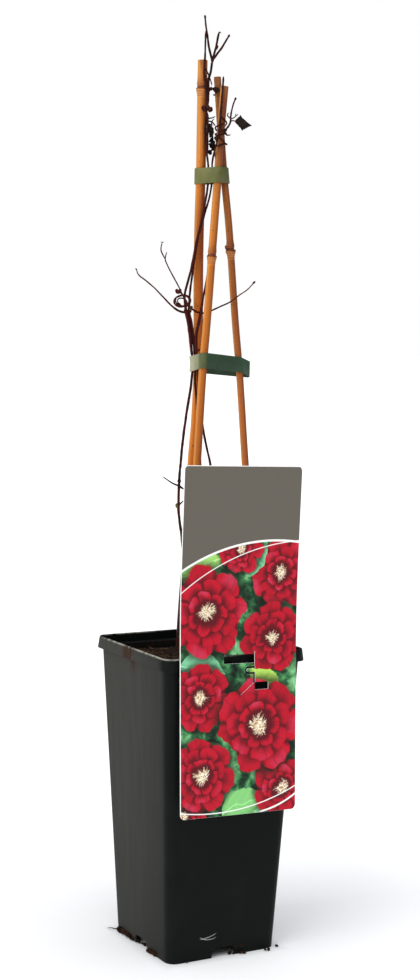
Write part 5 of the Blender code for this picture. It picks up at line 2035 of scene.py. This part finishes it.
# Left stem: old buds low down, the tangle of tendrils, and the long twigs at the top.
LEFT_VINE = Vine(
    "vine_left", 1, (
        (-7.5, -4, 180), (-7.5, -4, 206), (-9, -3.5, 235), (-11.5, -3, 264), (-13.5, -3, 282),
        (-16, -2, 300.5), (-16, -1, 322), (-14, 0.5, 349.5), (-12, 1.5, 366.5), (-9.4, 2.8, 385),
        (-8.1, 3.5, 401.5), (-9.1, 3.4, 410), (-10.1, 3, 419), (-11.8, 2.6, 430), (-13.4, 2, 437.5),
        (-14.5, 1.4, 448), (-12.4, 0.7, 457), (-10.2, -0.4, 466.5), (-8.5, -1.3, 476.5), (-6.5, -2, 487),
        (-4.5, -2.3, 495), (-2.8, -2.1, 504), (-1.5, -1.9, 511.5), (-0.4, -1.6, 519), (0.4, -1.3, 528),
        (-0.1, -1.5, 536), (-1.6, -2.2, 546), (-2.4, -3.2, 558), (-2, -3.4, 568), (-1.5, -3.5, 578),
    ), (
        Stalk(((-15.8, -1.8, 305), (-14.2, -2.6, 307), (-12.4, -3.4, 308.8)), 0.5),
        Stalk(((-12.5, -2.2, 316), (-16.2, -1.9, 318.2), (-21, 0.5, 320), (-27.5, 3, 324)), 0.75, 0.35),
        Stalk(((-13.4, 2, 436.2), (-18.5, 0.5, 437.5), (-23, -1, 440.5), (-29, -3.5, 446.5),
            (-34.5, -6, 452), (-40.5, -8.5, 457), (-44, -10, 459.5), (-46, -10.8, 461.5),
            (-47, -11, 464.2)), 0.6),
        Curl((-16.2, 0, 444), (6, 4.7), (-0.23, 1.35), (1.4, -3), 12, 0.55),
        Curl((-16.4, 0, 443.6), (4.4, 2.6), (0.42, 1.75), (-2.8, 0), -15, 0.5),
        Stalk(((-14.4, 1.2, 446.5), (-16.5, 0.2, 449), (-18.6, -0.8, 450.3)), 0.55),
        Stalk(((-0.9, -2.2, 543), (-1, -3.3, 552), (-0.9, -3.9, 562), (-1.4, -3.8, 570)), 0.8, 0.7),
        Stalk(((-1.6, -3.6, 565.4), (0, -4, 566.1), (2.2, -5.3, 566.3), (4, -6.1, 567.2)), 0.5),
        Stalk(((-1.4, -3.6, 564.3), (1.2, -4.3, 564), (3.2, -5.6, 562.4), (4.4, -6, 560.6)), 0.55),
        Stalk(((-1.6, -3.6, 562), (0.8, -4.5, 562.2), (2.9, -5, 561.4)), 0.5),
        Stalk(((-1.6, -3.5, 577), (-2.4, -3.9, 588), (-3.8, -4.3, 595), (-3.5, -4.3, 606),
            (-3.4, -4.2, 614), (-3.3, -4, 623.5)), 0.85, 0.5),
        Stalk(((-1.9, -3.4, 570), (-0.9, -2.9, 581), (-0.9, -2.4, 591), (0.4, -1.8, 597),
            (1.5, -1.2, 604.5)), 0.85, 0.75),
        Stalk(((1.4, -1.2, 604.5), (0.5, -1.6, 607.8), (-1.1, -2.3, 614), (-2.3, -3, 621.5),
            (-3.3, -3.3, 627.5), (-4, -3.3, 633.5)), 0.75, 0.5),
        Stalk(((1.6, -1.2, 604.8), (2.5, -0.6, 609), (3.6, 0.2, 613.3), (4.9, 1.1, 620.5),
            (5.9, 1.7, 624.3)), 0.75, 0.6),
        Stalk(((5.6, 1.5, 623.4), (6.4, 1.3, 623.9), (7.2, 1, 623.2)), 0.5),
        Stalk(((1.6, -1.3, 604.8), (4.9, -2.5, 609.3), (7.4, -3.4, 612.4), (9.6, -4.4, 616.2),
            (12.3, -5.4, 620.3)), 0.75, 0.6),
        Stalk(((-3.6, -4.3, 600), (-1.2, -3.8, 595.5), (0.8, -3.4, 590.5), (1.4, -3, 588)), 0.42),
        Stalk(((-1.2, -3.2, 583), (0.4, -2.6, 585.2), (1.6, -0.6, 586.2), (2.7, 1.2, 586),
            (2.8, 2.4, 585.9)), 0.6, 0.5),
        Wrap(("cane_right",), (586, 582.2), (-0.44, 0.62), 0.5),
    ), (
        Bud((-16, -1.1, 321.5), (1.3, 1.5)), Bud((-13.5, 2, 437), (1.5, 2.2), (-0.2, 0, 1)),
        Bud((-47.1, -11, 464.4), (0.5, 0.9), (-0.6, 0, 0.8)),
        Bud((-18.7, -0.9, 450.2), (1.5, 2), (1, 0, 0.3)), Bud((-19.9, -0.4, 451), (1.1, 1.3), (0.4, 0, 1)),
        Bud((-17.5, -1.5, 451.2), (1, 1.2)), Bud((0.7, -3.6, 572), (1.7, 2), (0.5, 0, 1)),
        Bud((-3.4, -3.7, 572.6), (1.9, 2.2), (-0.5, 0, 1)), Bud((-1.2, -3.9, 573.6), (1.5, 1.8)),
        Bud((1.5, -1.2, 605), (1.1, 1.9)), Bud((-3.4, -3.3, 628.3), (0.65, 1.2)),
        Bud((-3.9, -3.3, 632.8), (0.75, 1.5), (-0.1, 0, 1)), Bud((4, 0.3, 613.2), (1, 2.2), (0.7, 0, 1)),
        Bud((12.1, -5.3, 620.2), (0.8, 1.3), (0.5, -0.2, 0.8)), Bud((1, -2.4, 585.9), (1.2, 1.3)),
    ), (
        Blade(((-0.2, -3.6, 562), (0.9, -4.1, 559.5), (1.4, -4, 556.5), (0.8, -3.4, 553.5)),
            (0.6, 2, 1.9, 0.5), (1, 0.5, 0), 0.3),
        Blade(((1.8, -0.4, 586.2), (3.2, -0.4, 585.8), (4.8, -0.5, 585), (6.2, -0.3, 585.6)),
            (0.5, 1.7, 2.5, 0.8), (0.1, 0.1, 1), 0.1),
    ), (
        Bud((-17.3, -1.9, 304.5), (1.1, 1.9), (-0.3, 0, 1)),
    ))

# Middle stem: a green bud in the tangle, stalks round two canes, twigs and a dried leaf.
FRONT_PAIR = ("cane_front", "cane_right")
MIDDLE_VINE = Vine(
    "vine_middle", 1, (
        (-3, 2, 180), (-3, 2, 206), (-1.5, 2.5, 250), (0, 3, 300), (-2.5, 3.6, 345), (-5, 4.6, 375),
        (-6.3, 5, 388), (-6.5, 5.3, 401.5), (-7.1, 5, 410), (-8.1, 4.6, 419), (-9.8, 4.2, 430),
        (-11.3, 3.8, 437.5), (-11.1, 3.4, 448), (-10, 2.8, 458), (-8.8, 1.9, 468), (-7.6, 0.9, 477),
        (-6, 0.2, 487), (-4, -0.2, 495), (-1.8, -0.4, 503.5), (0.5, -0.6, 511.5), (2, -0.5, 519),
        (2.9, 0.1, 528), (2.6, -1, 535.5), (3.3, -4.4, 541), (4.5, -6.9, 546), (6, -7.3, 552),
        (7, -7.3, 558),
    ), (
        Wrap(FRONT_PAIR, (547.5, 562.5), (-0.34, 1.85), 0.6),
        Wrap(FRONT_PAIR, (567, 550), (-0.3, 0.95), 0.5),
        Stalk(((5.2, -7.2, 549.2), (5.4, -7.6, 552.5), (6.6, -7.9, 555.8), (7.4, -7.6, 559)), 0.6, 0.5),
        Stalk(((7.1, -7.3, 556.5), (7.5, -7.2, 567.5), (8.1, -6.9, 576), (8.6, -6.7, 584),
            (9, -6.4, 593.5)), 0.75, 0.65),
        Stalk(((7.2, -7.3, 557.6), (9.4, -7.5, 557.6), (11.2, -7, 558.6), (13.4, -6, 561.5),
            (14.4, -5, 564.5), (14.5, -4.4, 568), (15, -4, 571.5), (16.1, -3.4, 576),
            (17.4, -3, 579.5)), 0.7, 0.42),
        Stalk(((10.8, -7.1, 558.2), (12.2, -6.8, 559.8), (13.3, -6.5, 560)), 0.6, 0.5),
        Stalk(((10.4, -7.2, 557.6), (11.4, -7.1, 555.4), (12.8, -6.9, 554.8), (14.7, -6.6, 555.2)), 0.6),
        Stalk(((14.4, -4.8, 565.9), (13.2, -5.4, 566.9), (12.2, -6, 567.8), (12.4, -6.2, 569.2),
            (13.4, -6.2, 569.6)), 0.45, 0.38),
        Stalk(((14.4, -4.8, 565.9), (16.4, -4.5, 566.6), (17.9, -4.1, 568),
            (17.6, -3.7, 569.6)), 0.45, 0.38),
        Stalk(((17.5, -4.2, 567.5), (18.5, -4.2, 568.3), (19.4, -4.2, 569.5)), 0.42, 0.38),
        Stalk(((14.2, -5.1, 563.9), (16, -5.6, 564.7), (18, -6.1, 563.9)), 0.5),
    ), (
        Bud((-11, 3.2, 437.8), (1.5, 2.4)), Bud((7.3, -7.2, 558), (1.4, 2), (0.3, 0, 1)),
        Bud((17.4, -3, 579.4), (0.75, 1.1), (0.4, 0, 1)), Bud((10.6, -7.2, 557.9), (1.2, 1.7), (1, 0, 0.3)),
    ), (
        Blade(((17.2, -6, 564.1), (19.8, -6.6, 563.6), (22.6, -7, 562.6), (25.4, -8, 561.9),
            (28.5, -9, 561.2)), (0.4, 2.7, 4.9, 3.3, 1.5, 0.1), (-0.12, 0.05, 1), 0.22),
    ), (
        Bud((-10, 2.1, 439.2), (1.2, 2.2), (0.4, -0.4, 1)),
    ))

# Right stem: its node with two long leaf stalks, and a cluster of dried leaf scraps.
RIGHT_VINE = Vine(
    "vine_right", 0.8, (
        (3.5, -2, 180), (3.5, -2, 206), (6.5, -1, 250), (8.5, 0, 290), (8, -1, 314.5), (5, -2.5, 333.5),
        (2, -3.4, 346.5), (-0.5, -4.2, 359), (-2.5, -3.8, 374), (-4, -2.5, 387.5), (-5, -1, 401.5),
        (-6, -0.6, 414.5), (-5.9, -0.9, 422.5), (-4.6, -1.2, 429.5), (-3.4, -1.4, 436), (-1.5, -1.6, 448.5),
        (1, -1.6, 463), (2.5, -1.2, 475.5), (3.5, -0.4, 489), (4.5, 0.8, 504.5), (5, 2.2, 518),
        (5.5, 3.4, 528.5), (5.4, 3.8, 538), (4, 3.4, 546), (2.6, 2.6, 553), (2, 1.6, 560),
    ), (
        Stalk(((-5.7, -0.9, 411), (-4.5, -1.9, 411.2), (-3.4, -2.6, 411.6)), 0.5),
        Stalk(((-3.6, -1.6, 436.2), (-6.2, -3, 436.8), (-9, -4.8, 438.5), (-11.5, -5.6, 441),
            (-14.5, -5.8, 445.5), (-18.5, -5.2, 453.5), (-23, -4.2, 461.5), (-27, -3.4, 469),
            (-28, -3, 472.5), (-27, -2.4, 476.8)), 0.5),
        Stalk(((-27.8, -3.1, 471.4), (-29.4, -3.3, 474.4), (-30.6, -3.6, 476.8), (-30.9, -3.8, 479.5),
            (-30.1, -3.8, 483.2)), 0.45),
        Stalk(((-31.2, -3.8, 483.4), (-30, -3.8, 483), (-28.9, -3.8, 483.4)), 0.42),
        Stalk(((-3.2, -1.2, 435.8), (0, 0.4, 436.5), (4, 0.6, 438), (10.5, -1, 441), (16.5, -2.6, 444),
            (22.5, -4.2, 448.5), (28, -5.6, 452.5), (32.5, -7, 457.3)), 0.5),
        Stalk(((2, 1.6, 558.6), (1.6, 0.6, 562.5), (2.4, -0.4, 565.5), (3.4, -0.9, 566.2)), 0.5),
    ), (
        Bud((-3.3, -1.4, 436), (1.3, 2)), Bud((-4.6, -1.9, 411), (0.9, 1.3), (1, 0, 0.6)),
        Bud((32.2, -6.9, 457.1), (0.75, 1.4), (0.7, -0.2, 0.7)),
    ), (
        Blade(((4, 3, 546.2), (2.6, 0.6, 549.2), (3, -1.4, 550.4), (3.8, -2.6, 549.4)),
            (0.8, 2.2, 2.6, 0.7), (0.8, 0.2, 0.5), 0.3),
        Blade(((3.8, 3, 545.8), (1.8, 1.2, 546), (1, 0, 544.4), (1.8, -1, 542.4)), (0.8, 2.3, 2.2, 0.6),
            (0.8, -0.3, 0.5), 0.25),
        Blade(((3, 2.6, 551), (1.2, 1, 552.4), (0.4, -0.2, 551.6)), (0.8, 2, 0.7), (0.6, -0.3, 0.8), 0.2),
    ))

# The three canes with their sizes and paths, and the climber on them.
TRELLIS = Trellis(
    Cane("cane_back", 3.3 * MM, 605 * MM, (587 * MM, 322 * MM), (
        (-15, 30.5, 9.5), (-15, 30.5, 110), (-13.5, 29, 206), (-10.5, 24, 264), (-7.5, 17, 332),
        (-5.5, 13.5, 363), (-4.5, 9.7, 402), (-5.3, 7.1, 452), (-5.5, 4.9, 492), (-5, 3.2, 526),
        (-5, 1.8, 566), (-5, 0.5, 605),
    ), Wood.GOLDEN),
    Cane("cane_front", 2.7 * MM, 587.5 * MM, (474.9 * MM, 300 * MM), (
        (-10, -30.5, 9.5), (-10, -30.5, 110), (-8.7, -29.3, 206), (-7, -24, 270), (-4, -17.2, 334),
        (-2.2, -12.8, 377), (-1, -10.7, 402), (1.2, -8.7, 434), (4.5, -5, 492), (6.5, -3.1, 527),
        (8, -2.7, 559), (10, -2.4, 588),
    ), Wood.AMBER),
    Cane("cane_right", 2.45 * MM, 594.5 * MM, (479.4 * MM, 296 * MM), (
        (38, 0, 9.5), (39.2, 0, 110), (39.2, 0.2, 206), (35, 1, 268), (29, 2, 334), (25.5, 2.7, 377),
        (23.3, 3, 402), (20, 3, 434), (15, 3, 492), (11, 3, 527), (8, 3.3, 559), (5, 3.7, 595),
    ), Wood.RUSSET, 1.05, 1.15 * MM),
    (LEFT_VINE, MIDDLE_VINE, RIGHT_VINE))


@dataclass
class Studio:
    """A pale floor, soft light from the left and from above, and the camera."""

    eye: Row = (-567.2, -1026.3, 415.0)
    heading: float = -29.04       # degrees
    pitch: float = 4.83
    roll: float = 1.05
    lens: float = 63.26
    floor_half: float = 60.0
    sky: Colour = (0.39, 0.405, 0.42)

    def build(self) -> None:
        """Make the floor, the lights, the sky and the camera."""
        bm = bmesh.new()
        bmesh.ops.create_grid(bm, x_segments=1, y_segments=1, size=self.floor_half)
        floor = solid("floor", bm, StudioWhite().material())
        self._sun("key_light", -75, 32, 1.6, 50, (1, 0.98, 0.955))
        self._sun("top_light", -20, 70, 1.5, 70, (0.985, 0.99, 1))
        self._sky()
        self._camera()
        bpy.context.scene.view_settings.view_transform = "Standard"

    def _sun(self, name: str, azimuth: float, height: float, strength: float, spread: float,
            colour: Colour) -> None:
        """A wide far light.

        Args:
            name: Its name.
            azimuth: Where it stands round the object, in degrees; -90 is the pot's left.
            height: Its height above the horizon, in degrees.
            strength: Its strength.
            spread: How wide it is, in degrees.
            colour: Its colour.
        """
        light = bpy.data.lights.new(name, "SUN")
        light.energy = strength
        light.angle = math.radians(spread)
        light.color = colour
        lamp = bpy.data.objects.new(name, light)
        bpy.context.scene.collection.objects.link(lamp)
        turn, rise = math.radians(azimuth), math.radians(height)
        towards = Vector((math.cos(rise) * math.sin(turn), -math.cos(rise) * math.cos(turn),
            math.sin(rise)))
        lamp.location = towards * 3
        lamp.rotation_euler = (-towards).to_track_quat("-Z", "Y").to_euler()

    def _sky(self) -> None:
        """Plain white behind the object, with a dimmer, cooler light from it."""
        world = bpy.data.worlds.new("studio_sky")
        world.use_nodes = True
        tree = Tree(world.node_tree)
        seen = tree.node("ShaderNodeLightPath")
        colour = tree.node("ShaderNodeMix", {"data_type": "RGBA"}, {0: seen, 6: self.sky, 7: (1, 1, 1)}, 2)
        tree.feed(world.node_tree.nodes["Background"].inputs["Color"], colour)
        bpy.context.scene.world = world

    def _camera(self) -> None:
        """Stand the camera at the photograph's place."""
        data = bpy.data.cameras.new("photo_camera")
        data.lens = self.lens
        data.sensor_width = 36.0
        data.clip_start = 0.01
        camera = bpy.data.objects.new("photo_camera", data)
        bpy.context.scene.collection.objects.link(camera)
        camera.matrix_world = Matrix.Translation(Vector(self.eye) * MM)
        for degrees, axis in ((self.heading, "Z"), (90 - self.pitch, "X"), (self.roll, "Z")):
            camera.matrix_world @= Matrix.Rotation(math.radians(degrees), 4, axis)
        bpy.context.scene.camera = camera


def main() -> None:
    """Build every piece in its place."""
    logging.basicConfig(level=logging.INFO, format="%(name)s: %(message)s")
    noise.seed_set(NOISE_SEED)
    pot = Pot()
    pot.build()
    Soil(pot).build()
    Label().build()
    TRELLIS.build()
    Studio().build()


if __name__ == "__main__":
    main()
